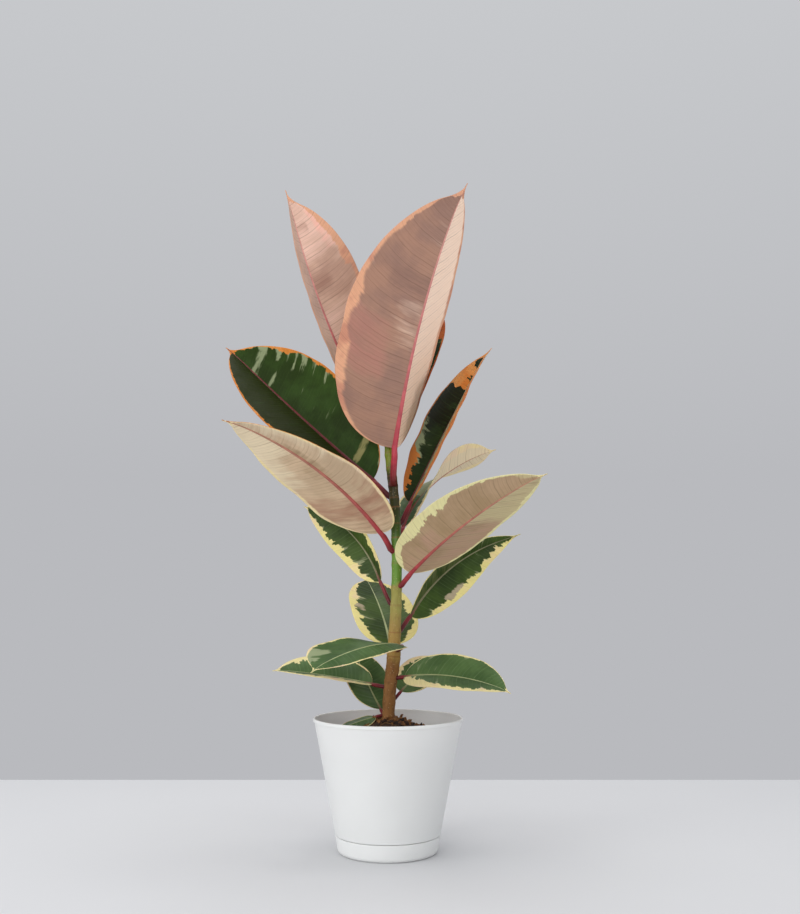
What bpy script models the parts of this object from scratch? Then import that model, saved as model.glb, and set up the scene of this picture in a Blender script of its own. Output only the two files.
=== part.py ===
"""A variegated rubber plant (Ficus elastica) in a tapered plastic pot with a clip-on saucer.

Units are metres, +Z is up and the origin is the middle of the saucer's underside. The plant
is a leaning stem with seventeen leaves and a terminal bud, rooted in potting mix.
"""

import math
from dataclasses import dataclass

import bmesh
import bpy
from mathutils import Quaternion, Vector

MM = 0.001
GAP = 0.3 * MM  # between pieces that touch
WELD = 0.01 * MM  # points nearer than this are made one

# Pot and saucer
RIM_RADIUS = 75 * MM
RIM_HEIGHT = 130 * MM
SEAM_RADIUS = 52.2 * MM
SEAM_HEIGHT = 17.6 * MM
WALL = 2.2 * MM
RIM_BAND = 0.5 * MM  # how far the rim band stands out of the wall
RIM_BAND_HEIGHT = 3.5 * MM
RIM_CHAMFER = 0.5 * MM  # at the band's lower edge
SKIRT_RADIUS = 47.5 * MM  # the pot below its seam, inside the saucer
SEAM_CHAMFER = 0.6 * MM
KNEE_FOOT = SEAM_HEIGHT + 1 * MM  # where the inside leaves the skirt
KNEE_TOP = SEAM_HEIGHT + 6 * MM  # where it has reached the flared wall
POT_FLOOR = 5 * MM
POT_CORNER = 3 * MM
FOOT_RADIUS = 36 * MM
FOOT_HALF_WIDTH = 1.5 * MM
DRAIN_HOLES = 6
DRAIN_RADIUS = 4 * MM
DRAIN_CIRCLE = 25 * MM
DRAIN_SIDES = 16
SAUCER_BASE_RADIUS = 50.2 * MM
SAUCER_CORNER = 5 * MM
SAUCER_INNER_CORNER = 3 * MM
SAUCER_FLOOR = 2.2 * MM
SAUCER_INSET = 0.2 * MM  # its lip's outside, in from the pot's wall
TURNING_STEPS = 48
ARC_STEPS = 6

# Potting mix: (radius, height below the rim) from the stem out to the wall
MOUND = ((0, 1.5), (14, 2.5), (24, 5.5), (34, 10), (46, 16.5), (60, 19), (66, 19))
MIX_BOTTOM = POT_FLOOR + WALL + GAP
MIX_GAP = 0.4 * MM  # between the mix and the pot's wall

# Stem: (height, x, y, radius) in millimetres, from the root end to the growing tip
STEM = (
    (75, 0, 0, 3.5),
    (100, 0, 0, 6.5),
    (128, 0, 0, 6.2),
    (160, 2, 0.5, 6.1),
    (185, 5, 1, 6.7),
    (212, 6.5, 1, 6.2),
    (245, 8, 0.5, 5.4),
    (285, 8.7, -0.5, 5.1),
    (325, 7.5, -0.5, 4.9),
    (360, 5, 0, 4.8),
    (395, 1, 0.5, 4.5),
    (424, -1, 1, 3.6),
)
STEM_SIDES = 10
STEM_STEPS = 22
BUD_LENGTH = 58 * MM
BUD_RADIUS = 3.4 * MM
BUD_LEAN = 6  # degrees, to the left
BUD_SIDES = 8
BUD_PROFILE = ((0, 0.8), (0.15, 1), (0.4, 0.95), (0.7, 0.6), (0.9, 0.25), (1, 0.08))

# Leaves
BLADE_THICKNESS = 1.0 * MM
PETIOLE_RADIUS = 2.1 * MM
PETIOLE_CLEARANCE = 1.05  # share of its radius that a rising petiole's foot is moved out by
RIB_RADIUS = 1.5 * MM
RIB_END_RADIUS = 0.8 * MM
RIB_DROP = 0.4  # share of its radius that the midrib hangs below the blade
RIB_SHARE = 0.5  # how far along the blade the modelled midrib runs
RIB_STEPS = 5
RIB_SIDES = 6
BLADE_END = 0.95  # share of the blade's length before its drip tip
TIP_HALF_WIDTH = 0.4  # half the drip tip's width
BLADE_ROWS = 11
BLADE_COLUMNS = 4
PETIOLE_STEPS = 4
MARCH_STEPS = 200


@dataclass(frozen=True)
class Growth:
    """How one leaf grows. Lengths are millimetres and angles degrees.

    Azimuth turns from +X to +Y. Rise is the slope above level. Roll turns the blade about
    its midrib, and fold lifts each half of the blade from flat.
    """

    node: float  # height on the stem
    azimuth: float
    petiole: float
    petiole_rise: float
    length: float
    width: float
    rise: float
    tip_rise: float
    turn: float = 0  # change of azimuth along the blade
    roll: float = 0
    twist: float = 0  # change of roll along the blade
    fold: float = 10
    widest: float = 0.45
    left: float = 1  # the left half's width, as a share of the even one
    right: float = 1
    foot: float = 3  # the higher, the blunter the blade's foot
    crown: float = 2  # the higher, the blunter its far end
    swing: float = 0  # how far round the stem from the azimuth the petiole starts
    skew: float = 0  # how far the left half slips towards the foot for each millimetre outwards


LEAVES = {
    "leaf_01": Growth(132, 195, 7, -10, 42, 28, -12, -24, 0, -10, 0, -5, 0.5),
    "leaf_02": Growth(131, 125, 8, 45, 84, 52, 42, 50, -8, 0, 0, 5, 0.5),
    "leaf_03": Growth(148, 40, 10, 40, 74, 46, 38, 10, 10, 20, 0, 5, 0.5),
    "leaf_04": Growth(160, 178, 12, 10, 102, 58, 12, 4, 0, -20, 0, 20, 0.5),
    "leaf_05": Growth(169, -22, 8, 8, 112, 58, 9, -21, 0, 31, 0, 12, 0.45),
    "leaf_06": Growth(
        197, -110, 23, 15, 115, 60, 12, -34, -72, -6, -38, -8, 0.64,
        left=0.52, right=1.05, crown=2.6, swing=54, skew=0.62,
    ),
    "leaf_07": Growth(192, 101, 14, 30, 112, 74, 42, 36, 16, 0, 0, 4, 0.5, left=0.9, crown=2.8),
    "leaf_08": Growth(
        216, 45, 20, 44, 172, 72, 49, 12, -24, 97, -18, 30, 0.42,
        left=0.55, right=0.86, foot=2.0, crown=1.2,
    ),
    "leaf_09": Growth(243, 145, 26, 60, 132, 51, 66, 12, 8, -100, 0, 28, 0.5),
    "leaf_10": Growth(
        262, -40, 17, 45, 178, 92, 39, 25, 16, -24, 0, 14, 0.47,
        right=0.9, skew=-0.2,
    ),
    "leaf_11": Growth(
        298, -150, 20, 60, 200, 94, 48, 18, -15, 28, 0, -8, 0.44,
        left=0.88, right=0.94, crown=1.4, skew=0.26,
    ),
    "leaf_12": Growth(
        312, 60, 12, 50, 154, 50, 52, 20, -55, 20, -85, 20, 0.66,
        right=0.88, foot=2.0, crown=2.6,
    ),
    "leaf_13": Growth(326, 30, 24, 62, 198, 84, 62, 60, -10, 0, 0, 17, 0.6, left=1.04, foot=1.7),
    "leaf_14": Growth(
        353, 150, 26, 43, 244, 124, 38, 44, 12, -50, 0, 27, 0.55,
        left=0.82, right=0.97, foot=2.0,
    ),
    "leaf_15": Growth(
        367, -50, 34, 80, 275, 158, 77, 62, 12, 0, -20, 37, 0.48,
        right=0.98, swing=-35, skew=-0.05,
    ),
    "leaf_16": Growth(
        384, 60, 60, 42, 156, 60, 70, 57, -40, 25, 0, 8, 0.7,
        left=0.7, right=0.8, foot=2.0, swing=32,
    ),
    "leaf_17": Growth(412, -162, 20, 60, 256, 100, 60, 77, 0, 36, 0, 43, 0.55, crown=2.5),
}

# Materials: (sRGB colour, roughness)
WHITE_PLASTIC = ("#E9ECEE", 0.45)
PEAT = ("#3B2A1E", 0.95)
BARK = ("#8B5A34", 0.8)
BUD_PINK = ("#C0504F", 0.4)
YOUNG_LEAF = ("#C39A8B", 0.4)
OLD_LEAF = ("#3F6636", 0.35)
YOUNG_LEAVES = ("leaf_15", "leaf_16", "leaf_17")  # still pink


def linear(channel):
    """The linear value of one sRGB channel from 0 to 1."""
    return channel / 12.92 if channel <= 0.04045 else ((channel + 0.055) / 1.055) ** 2.4


def material(name, finish):
    """A Principled material of the given colour and roughness."""
    colour, roughness = finish
    made = bpy.data.materials.new(name)
    made.use_nodes = True
    shader = made.node_tree.nodes["Principled BSDF"]
    channels = [int(colour[i : i + 2], 16) / 255 for i in (1, 3, 5)]
    shader.inputs["Base Color"].default_value = (*map(linear, channels), 1)
    shader.inputs["Roughness"].default_value = roughness
    return made


def collection(name):
    made = bpy.data.collections.new(name)
    bpy.context.scene.collection.children.link(made)
    return made


def add_object(name, mesh, home, finish=None):
    """An object of this mesh in the collection home, with one material of its own."""
    made = bpy.data.objects.new(name, mesh)
    home.objects.link(made)
    if finish:
        made.data.materials.append(material(name, finish))
    return made


def turned(name, profile, home, finish=None):
    """A solid of revolution: the profile runs down its outer side from the axis or round a wall."""
    mesh = bpy.data.meshes.new(name)
    points = [(radius, 0, height) for radius, height in profile]
    edges = [(i, i + 1) for i in range(len(points) - 1)]
    mesh.from_pydata(points, edges, [])
    made = add_object(name, mesh, home, finish)
    screw = made.modifiers.new("turn", "SCREW")
    screw.steps = screw.render_steps = TURNING_STEPS
    screw.use_merge_vertices = True
    screw.merge_threshold = WELD
    return made


def arc(centre, radius, start, end):
    """Points of a circular arc as (radius, height) pairs, angles in degrees."""
    turns = [start + (end - start) * step / ARC_STEPS for step in range(ARC_STEPS + 1)]
    return [
        (
            centre[0] + radius * math.cos(math.radians(turn)),
            centre[1] + radius * math.sin(math.radians(turn)),
        )
        for turn in turns
    ]


def curve_tube(name, points, radii, sides):
    """A closed tube through these points, made a mesh with its caps welded."""
    path = bpy.data.curves.new(name, "CURVE")
    path.dimensions = "3D"
    path.bevel_depth = 1
    path.bevel_resolution = sides // 2 - 2
    path.use_fill_caps = True
    spline = path.splines.new("POLY")
    spline.points.add(len(points) - 1)
    for target, point, radius in zip(spline.points, points, radii):
        target.co = (*point, 1)
        target.radius = radius
    drawn = bpy.data.objects.new(name + "_path", path)
    bpy.context.scene.collection.objects.link(drawn)
    bpy.context.view_layer.update()
    evaluated = drawn.evaluated_get(bpy.context.evaluated_depsgraph_get())
    mesh = bpy.data.meshes.new_from_object(evaluated)
    bpy.data.objects.remove(drawn)
    bpy.data.curves.remove(path)
    weld = bmesh.new()
    weld.from_mesh(mesh)
    bmesh.ops.remove_doubles(weld, verts=weld.verts, dist=WELD)
    bmesh.ops.recalc_face_normals(weld, faces=weld.faces)
    weld.to_mesh(mesh)
    weld.free()
    mesh.name = name
    return mesh


def boolean(target, operation, other):
    step = target.modifiers.new(other.name, "BOOLEAN")
    step.operation = operation
    step.object = other
    step.solver = "EXACT"


def helper(name, mesh, home):
    """A cutter or a shape to be joined, left out of renders."""
    made = add_object(name, mesh, home)
    made.hide_render = True
    made.display_type = "WIRE"
    return made


# ---------------------------------------------------------------------------- stem


def stem_at(height):
    """(centre, radius) of the stem at this height in metres, eased between its stations."""
    level = height / MM
    level = min(max(level, STEM[0][0]), STEM[-1][0])
    upper = next(i for i in range(1, len(STEM)) if level <= STEM[i][0])
    rows = [STEM[min(max(upper + k, 0), len(STEM) - 1)] for k in (-2, -1, 0, 1)]
    low, high = rows[1], rows[2]
    t = (level - low[0]) / (high[0] - low[0])

    def eased(column):
        before, a, b, after = (row[column] for row in rows)
        slope_a = (b - before) / (high[0] - rows[0][0]) * (high[0] - low[0])
        slope_b = (after - a) / (rows[3][0] - low[0]) * (high[0] - low[0])
        return (
            (2 * t**3 - 3 * t**2 + 1) * a
            + (t**3 - 2 * t**2 + t) * slope_a
            + (3 * t**2 - 2 * t**3) * b
            + (t**3 - t**2) * slope_b
        )

    centre = Vector((eased(1) * MM, eased(2) * MM, level * MM))
    return centre, eased(3) * MM


def stem_tube(name, extra=0.0):
    """The stem's mesh, or one that much thicker all round."""
    bottom, top = STEM[0][0] * MM, STEM[-1][0] * MM
    heights = [bottom + (top - bottom) * i / STEM_STEPS for i in range(STEM_STEPS + 1)]
    stations = [stem_at(height) for height in heights]
    points = [centre for centre, _ in stations]
    points[0].z -= extra
    radii = [radius + extra for _, radius in stations]
    return curve_tube(name, points, radii, STEM_SIDES)


# ---------------------------------------------------------------------------- leaves


def heading(azimuth, rise):
    a, e = math.radians(azimuth), math.radians(rise)
    return Vector((math.cos(e) * math.cos(a), math.cos(e) * math.sin(a), math.sin(e)))


def half_width(growth, along, across):
    """A half's width at a share of the blade's length: a blunt base, a round end and a drip tip."""
    along = along / BLADE_END
    widest = growth.width / 2 * (growth.left if across > 0 else growth.right)
    if along < growth.widest:
        share = 1 - along / growth.widest
        return widest * (1 - share**growth.foot) ** 0.5
    share = min((along - growth.widest) / (1 - growth.widest), 1)
    return widest * (1 - share**growth.crown) ** 0.7


def petiole_points(growth):
    """The petiole's centre line, from just clear of the stem to the foot of the blade."""
    centre, radius = stem_at(growth.node * MM)
    tilt = abs(math.sin(math.radians(growth.petiole_rise)))
    clear = radius + GAP + PETIOLE_RADIUS * tilt * PETIOLE_CLEARANCE
    point = centre + heading(growth.azimuth + growth.swing, 0) * clear
    points = [point]
    for step in range(PETIOLE_STEPS):
        share = (step + 0.5) / PETIOLE_STEPS
        rise = growth.petiole_rise + (growth.rise - growth.petiole_rise) * share**2
        azimuth = growth.azimuth + growth.swing * (1 - share)
        point = point + heading(azimuth, rise) * (growth.petiole * MM / PETIOLE_STEPS)
        points.append(point)
    return points


def blade_frames(growth, shares):
    """(point, along, side, up) of the blade's midrib at each share of its length."""
    point = petiole_points(growth)[-1]
    marched = []
    step = growth.length * MM / MARCH_STEPS
    for index in range(MARCH_STEPS + 1):
        share = index / MARCH_STEPS
        azimuth = growth.azimuth + growth.turn * share
        along = heading(azimuth, growth.rise + (growth.tip_rise - growth.rise) * share)
        a = math.radians(azimuth)
        side = Vector((-math.sin(a), math.cos(a), 0))
        turn = Quaternion(along, math.radians(growth.roll + growth.twist * share))
        side = turn @ side
        marched.append((point, along, side, along.cross(side)))
        point = point + along * step
    return [marched[round(share * MARCH_STEPS)] for share in shares]


def blade_point(growth, frame, share, across):
    """A point of the blade, across from -1 to 1 at a share of its length."""
    point, along, side, up = frame
    reach = max(half_width(growth, share, across), TIP_HALF_WIDTH) * MM * abs(across)
    lift = math.radians(growth.fold)
    signed = math.copysign(reach, across)
    slipped = point + side * (math.cos(lift) * signed) - along * (growth.skew * signed)
    return slipped + up * (math.sin(lift) * reach)


def row_shares():
    """Where the blade's rows lie along it: closest at its ends, with the last at the drip tip."""
    last = BLADE_ROWS - 1
    rows = [BLADE_END * (0.5 - 0.5 * math.cos(math.pi * row / last)) for row in range(last + 1)]
    return [*rows, 1.0]


def blade_mesh(name, growth):
    """An open grid laid along the midrib."""
    grid = bmesh.new()
    bmesh.ops.create_grid(
        grid, x_segments=BLADE_ROWS, y_segments=BLADE_COLUMNS, size=1
    )
    shares = row_shares()
    frames = blade_frames(growth, shares)
    for vertex in grid.verts:
        row = round((vertex.co.x + 1) / 2 * BLADE_ROWS)
        vertex.co = blade_point(growth, frames[row], shares[row], vertex.co.y)
    mesh = bpy.data.meshes.new(name)
    grid.to_mesh(mesh)
    grid.free()
    return mesh


def add_leaf(name, growth, home, helpers):
    """A blade with its petiole and midrib, joined in one solid."""
    finish = YOUNG_LEAF if name in YOUNG_LEAVES else OLD_LEAF
    leaf = add_object(name, blade_mesh(name, growth), home, finish)
    shell = leaf.modifiers.new("thickness", "SOLIDIFY")
    shell.thickness = BLADE_THICKNESS
    shell.offset = 0
    steps = [step / RIB_STEPS for step in range(1, RIB_STEPS + 1)]
    frames = blade_frames(growth, [RIB_SHARE * step for step in steps])
    below = RIB_RADIUS * RIB_DROP
    stalk = petiole_points(growth)
    points = stalk + [point - up * below for point, _, _, up in frames]
    radii = [PETIOLE_RADIUS] * len(stalk)
    radii += [RIB_RADIUS + (RIB_END_RADIUS - RIB_RADIUS) * step for step in steps]
    rib_name = name + "_rib"
    rib = helper(rib_name, curve_tube(rib_name, points, radii, RIB_SIDES), helpers)
    boolean(leaf, "UNION", rib)
    return leaf


# ---------------------------------------------------------------------------- holder


def wall_radius(height):
    """The pot's outer radius between its seam and its rim."""
    share = (height - SEAM_HEIGHT) / (RIM_HEIGHT - SEAM_HEIGHT)
    return SEAM_RADIUS + (RIM_RADIUS - RIM_BAND - SEAM_RADIUS) * share


def add_pot(home, helpers):
    band_foot = RIM_HEIGHT - RIM_BAND_HEIGHT
    top = RIM_HEIGHT - WALL / 2
    inner_floor = POT_FLOOR + WALL
    inside = SKIRT_RADIUS - WALL
    foot_outside, foot_inside = FOOT_RADIUS + FOOT_HALF_WIDTH, FOOT_RADIUS - FOOT_HALF_WIDTH
    profile = [
        (0, inner_floor),
        (inside - POT_CORNER, inner_floor),
        (inside, inner_floor + POT_CORNER),
        (inside, KNEE_FOOT),
        (wall_radius(KNEE_TOP) - WALL, KNEE_TOP),
    ]
    profile += arc((RIM_RADIUS - WALL / 2, top), WALL / 2, 180, 0)
    profile += [
        (RIM_RADIUS, band_foot + RIM_CHAMFER),
        (wall_radius(band_foot), band_foot),
        (SEAM_RADIUS, SEAM_HEIGHT + SEAM_CHAMFER),
        (SEAM_RADIUS - SEAM_CHAMFER, SEAM_HEIGHT),
        (SKIRT_RADIUS, SEAM_HEIGHT),
        (SKIRT_RADIUS, POT_FLOOR + POT_CORNER),
        (SKIRT_RADIUS - POT_CORNER, POT_FLOOR),
        (foot_outside, POT_FLOOR),
        (foot_outside, SAUCER_FLOOR + GAP),
        (foot_inside, SAUCER_FLOOR + GAP),
        (foot_inside, POT_FLOOR),
        (0, POT_FLOOR),
    ]
    pot = turned("pot", profile, home, WHITE_PLASTIC)
    for index in range(DRAIN_HOLES):
        turn = math.tau * index / DRAIN_HOLES
        drill = bmesh.new()
        bmesh.ops.create_cone(
            drill,
            cap_ends=True,
            segments=DRAIN_SIDES,
            radius1=DRAIN_RADIUS,
            radius2=DRAIN_RADIUS,
            depth=4 * WALL,
        )
        mesh = bpy.data.meshes.new(f"drain_{index + 1}")
        drill.to_mesh(mesh)
        drill.free()
        hole = helper(f"drain_{index + 1}", mesh, helpers)
        hole.location = (
            DRAIN_CIRCLE * math.cos(turn),
            DRAIN_CIRCLE * math.sin(turn),
            POT_FLOOR + WALL / 2,
        )
        boolean(pot, "DIFFERENCE", hole)
    return pot


def add_saucer(home):
    top = SEAM_HEIGHT - GAP
    inside = SAUCER_BASE_RADIUS - WALL
    corner = (SAUCER_BASE_RADIUS - SAUCER_CORNER, SAUCER_CORNER)
    lip = SEAM_RADIUS - SAUCER_INSET
    profile = [
        (0, SAUCER_FLOOR),
        (inside - SAUCER_INNER_CORNER, SAUCER_FLOOR),
        (inside, SAUCER_FLOOR + SAUCER_INNER_CORNER),
        (lip - SAUCER_INSET - WALL, top),
        (lip - SEAM_CHAMFER, top),
        (lip, top - SEAM_CHAMFER),
    ]
    profile += arc(corner, SAUCER_CORNER, 0, -90)
    profile += [(0, 0)]
    return turned("saucer", profile, home, WHITE_PLASTIC)


def add_potting_mix(home, helpers):
    surface = [(radius * MM, RIM_HEIGHT - drop * MM) for radius, drop in MOUND]
    edge_height = surface[-1][1]
    inside = SKIRT_RADIUS - WALL - MIX_GAP
    profile = surface[:-1]
    profile += [
        (wall_radius(edge_height) - WALL - MIX_GAP, edge_height),
        (wall_radius(KNEE_TOP) - WALL - MIX_GAP, KNEE_TOP),
        (inside, KNEE_FOOT),
        (inside, MIX_BOTTOM + POT_CORNER),
        (inside - POT_CORNER, MIX_BOTTOM),
        (0, MIX_BOTTOM),
    ]
    mix = turned("potting_mix", profile, home, PEAT)
    cutter = helper("stem_hole", stem_tube("stem_hole", GAP), helpers)
    boolean(mix, "DIFFERENCE", cutter)
    return mix


def add_bud(home):
    """The rolled stipule that sheathes the next leaf, on the growing tip."""
    foot, _ = stem_at(STEM[-1][0] * MM)
    lean = math.radians(BUD_LEAN)
    direction = Vector((-math.sin(lean), 0, math.cos(lean)))
    start = foot + Vector((0, 0, GAP))
    points = [start + direction * (BUD_LENGTH * share) for share, _ in BUD_PROFILE]
    radii = [BUD_RADIUS * width for _, width in BUD_PROFILE]
    mesh = curve_tube("terminal_bud", points, radii, BUD_SIDES)
    lowest = min(vertex.co.z for vertex in mesh.vertices)
    for vertex in mesh.vertices:
        vertex.co.z += start.z - lowest
    return add_object("terminal_bud", mesh, home, BUD_PINK)


def main():
    for old in list(bpy.data.objects):
        bpy.data.objects.remove(old)
    plant = collection("potted_rubber_plant")
    helpers = collection("cutters")
    add_saucer(plant)
    add_pot(plant, helpers)
    add_potting_mix(plant, helpers)
    add_object("stem", stem_tube("stem"), plant, BARK)
    add_bud(plant)
    for name, growth in LEAVES.items():
        add_leaf(name, growth, plant, helpers)
    for made in plant.objects:
        made.data.shade_smooth()


main()
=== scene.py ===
"""Dresses a potted variegated rubber plant: leaves, stem, bud, potting mix, pot and saucer, in a plain studio.

Sizes in the tables are millimetres and angles are degrees. Meshes are metres with +Z up, and the
origin is the middle of the saucer's underside.
"""

import logging
import math
import random
from dataclasses import dataclass, replace
from enum import Enum
from functools import cache, partial
from typing import Callable, Sequence

import bmesh
import bpy
from mathutils import Matrix, Quaternion, Vector, noise

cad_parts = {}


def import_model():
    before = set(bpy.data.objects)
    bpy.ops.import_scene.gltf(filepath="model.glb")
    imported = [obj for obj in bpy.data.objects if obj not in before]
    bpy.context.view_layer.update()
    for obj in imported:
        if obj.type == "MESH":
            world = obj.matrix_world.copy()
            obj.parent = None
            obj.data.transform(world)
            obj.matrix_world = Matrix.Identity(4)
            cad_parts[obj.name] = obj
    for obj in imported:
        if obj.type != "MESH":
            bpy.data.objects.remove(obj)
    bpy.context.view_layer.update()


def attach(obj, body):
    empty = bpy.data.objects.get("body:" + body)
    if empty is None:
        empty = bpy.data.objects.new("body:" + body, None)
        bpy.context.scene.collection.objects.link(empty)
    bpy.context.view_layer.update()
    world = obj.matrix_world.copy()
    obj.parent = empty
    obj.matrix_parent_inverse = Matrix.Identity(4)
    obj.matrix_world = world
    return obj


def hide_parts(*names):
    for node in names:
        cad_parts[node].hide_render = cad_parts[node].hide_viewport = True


LOG = logging.getLogger("rubber_plant")

MM = 0.001
MERGE = 0.002 * MM  # points closer than this become one
VEIN_GAP = 6.0  # from one main side vein to the next, mm
NOISE_SPAN = 1.6  # brings smooth noise to about -1 to 1
Pair = tuple[float, float]
Frame = tuple[Vector, Vector, Vector, Vector]  # point, along, side and up
Socket = bpy.types.NodeSocket
Value = Socket | float | str | tuple[float, ...]


# ---------------------------------------------------------------------------- small tools


def linear(code: str) -> tuple[float, ...]:
    """The linear colour, with alpha, of an sRGB hex code such as "#C04352"."""
    channels = (int(code[i : i + 2], 16) / 255 for i in (1, 3, 5))
    return *(c / 12.92 if c <= 0.04045 else ((c + 0.055) / 1.055) ** 2.4 for c in channels), 1.0


def smooth(value: float, low: float, high: float) -> float:
    """A smooth step from 0 at low to 1 at high."""
    share = min(max((value - low) / (high - low), 0.0), 1.0)
    return share * share * (3 - 2 * share)


def window(value: float, start: float, full: float, fade: float, end: float) -> float:
    """Goes smoothly from 0 at start to 1 at full, and from 1 at fade back to 0 at end."""
    return smooth(value, start, full) * (1 - smooth(value, fade, end))


def heading(azimuth: float, rise: float) -> Vector:
    """The unit direction of an azimuth from +X to +Y and a rise above level, in degrees."""
    a, e = math.radians(azimuth), math.radians(rise)
    return Vector((math.cos(e) * math.cos(a), math.cos(e) * math.sin(a), math.sin(e)))


def framed(point: Vector, along: Vector, azimuth: float, roll: float) -> Frame:
    """A frame whose side is level before it is rolled about along."""
    side = Quaternion(along, math.radians(roll)) @ heading(azimuth + 90, 0)
    return point, along, side, along.cross(side)


def upright(point: Vector, along: Vector) -> Frame:
    """A frame for something that stands: its side lies in the plane of X and Z."""
    side = Vector((0, 1, 0)).cross(along).normalized()
    return point, along, side, along.cross(side)


def plug(value: Value, socket: Socket) -> None:
    """Feeds a shader input.

    Args:
        value: an output to link it to, or its own number, vector or hex colour.
        socket: the input.
    """
    if isinstance(value, Socket):
        socket.id_data.links.new(value, socket)
    else:
        socket.default_value = linear(value) if isinstance(value, str) else value


# What nodes of a kind share here: settings, inputs in the order in which they are given, and the wanted output
KINDS: dict[str, tuple[dict, Sequence, int | str | slice]] = {
    "Attribute": ({}, (), "Vector"),
    "Bump": ({}, ("Height", "Distance", "Strength"), 0),
    "Mix": ({"data_type": "RGBA"}, (0, 6, 7), 2),
    "SeparateXYZ": ({}, (0,), slice(0, 3)),
    "TexCoord": ({}, (), "Object"),
    "TexNoise": ({}, ("Vector", "Scale", "Detail", "Roughness"), 0),
    "TexVoronoi": ({}, ("Vector", "Scale"), 0),
    "TexWhiteNoise": ({"noise_dimensions": "1D"}, ("W",), 0),
}
SMOOTH = {"interpolation_type": "SMOOTHSTEP"}


def add_node(
    tree: bpy.types.NodeTree, kind: str, *inputs: Value, output: str | None = None, **settings: object
) -> Socket | list[Socket]:
    """Adds a shader node.

    Args:
        tree: the node tree that it goes in.
        kind: the node's type without its ShaderNode prefix, or the operation of a Math node.
        *inputs: what goes into its inputs, in their order.
        output: which output to hand back, where it isn't its kind's usual one.
        **settings: the node's own properties.

    Returns:
        The output, or a list of three for SeparateXYZ.
    """
    if kind.isupper():
        kind, settings["operation"] = "Math", kind
    usual, keys, wanted = KINDS.get(kind, ({}, range(len(inputs)), 0))
    node = tree.nodes.new("ShaderNode" + kind)
    for name, value in (usual | settings).items():
        setattr(node, name, value)
    for key, value in zip(keys, inputs):
        plug(value, node.inputs[key])
    return node.outputs[output or wanted]


def mesh_object(name: str, shape: bmesh.types.BMesh, *finishes: "Finish") -> bpy.types.Object:
    """Turns a bmesh into a smooth-shaded object at the origin and frees it.

    Args:
        name: the object's name.
        shape: the mesh in place, in metres.
        *finishes: what it is made of, in slot order.

    Returns:
        The new object.
    """
    mesh = bpy.data.meshes.new(name)
    shape.to_mesh(mesh)
    shape.free()
    mesh.shade_smooth()
    for finish in finishes:
        mesh.materials.append(finish.material())
    made = bpy.data.objects.new(name, mesh)
    bpy.context.scene.collection.objects.link(made)
    return made


def enter(piece: bpy.types.Object, slot: str, *nodes: str) -> None:
    """Makes a piece part of the plant.

    Args:
        piece: the finished piece, which rides the root.
        slot: not used.
        *nodes: the CAD nodes that it stands for.
    """
    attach(piece, "root")
    if nodes:
        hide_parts(*nodes)
    LOG.info("%s: %d faces, for %s", piece.name, len(piece.data.polygons), ", ".join(nodes) or "no node")


def tube(
    frames: Sequence[Frame],
    sides: int,
    section: Callable[[int, float], Pair],
    label: Callable[[int, float], Pair] | None = None,
) -> bmesh.types.BMesh:
    """Sweeps a closed cross-section along frames and caps its ends.

    Args:
        frames: where each ring lies.
        sides: how many faces go round.
        section: a ring's number and an angle to the offsets along side and up, in metres.
        label: the same to the first two numbers of the run attribute. Its third falls from 1 on the
            side to 0 opposite.

    Returns:
        The tube's mesh.
    """
    shape = bmesh.new()
    rings = len(frames)
    bmesh.ops.create_grid(shape, x_segments=rings - 1, y_segments=sides, size=1)
    run = shape.verts.layers.float_vector.new("run") if label else None
    for vertex in shape.verts:
        ring = round((vertex.co.x + 1) / 2 * (rings - 1))
        angle = math.tau * round((vertex.co.y + 1) / 2 * sides) / sides
        point, _, side, up = frames[ring]
        outward, upward = section(ring, angle)
        vertex.co = point + side * outward + up * upward
        if label:
            vertex[run] = Vector((*label(ring, angle), abs(angle / math.pi - 1)))
    bmesh.ops.remove_doubles(shape, verts=shape.verts, dist=MERGE)
    bmesh.ops.holes_fill(shape, edges=[edge for edge in shape.edges if edge.is_boundary], sides=0)
    bmesh.ops.recalc_face_normals(shape, faces=shape.faces)
    return shape


def spun(profile: Sequence[Pair], steps: int) -> bmesh.types.BMesh:
    """Turns a solid about Z.

    Args:
        profile: (radius, height) pairs in millimetres that start and end on the axis.
        steps: how many faces go round.

    Returns:
        The solid's mesh.
    """
    shape = bmesh.new()
    row = [shape.verts.new((radius * MM, 0, height * MM)) for radius, height in profile]
    bmesh.ops.spin(
        shape, geom=row + [shape.edges.new(pair) for pair in zip(row, row[1:])], cent=(0, 0, 0), axis=(0, 0, 1),
        dvec=(0, 0, 0), angle=math.tau, steps=steps, use_merge=True, use_duplicate=False,
    )
    bmesh.ops.remove_doubles(shape, verts=shape.verts, dist=MERGE)
    bmesh.ops.recalc_face_normals(shape, faces=shape.faces)
    return shape


def arc(centre: Pair, radius: float, start: float, end: float, steps: int) -> list[Pair]:
    """Points of a circular arc as (radius, height) pairs, angles in degrees."""
    turns = (math.radians(start + (end - start) * step / steps) for step in range(steps + 1))
    return [(centre[0] + radius * math.cos(t), centre[1] + radius * math.sin(t)) for t in turns]


def level_at(stops: Sequence[Pair], place: float, ease: Callable[[float, float, float], float]) -> float:
    """A value read off a table.

    Args:
        stops: (place, value) pairs in order.
        place: where to read it.
        ease: how it goes from one place to the next: (place, low, high) to a share.

    Returns:
        The value, which stays at its last past the end.
    """
    for (a, low), (b, high) in zip(stops, stops[1:]):
        if place <= b:
            return low + (high - low) * ease(place, a, b)
    return stops[-1][1]


# ---------------------------------------------------------------------------- finishes


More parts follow.
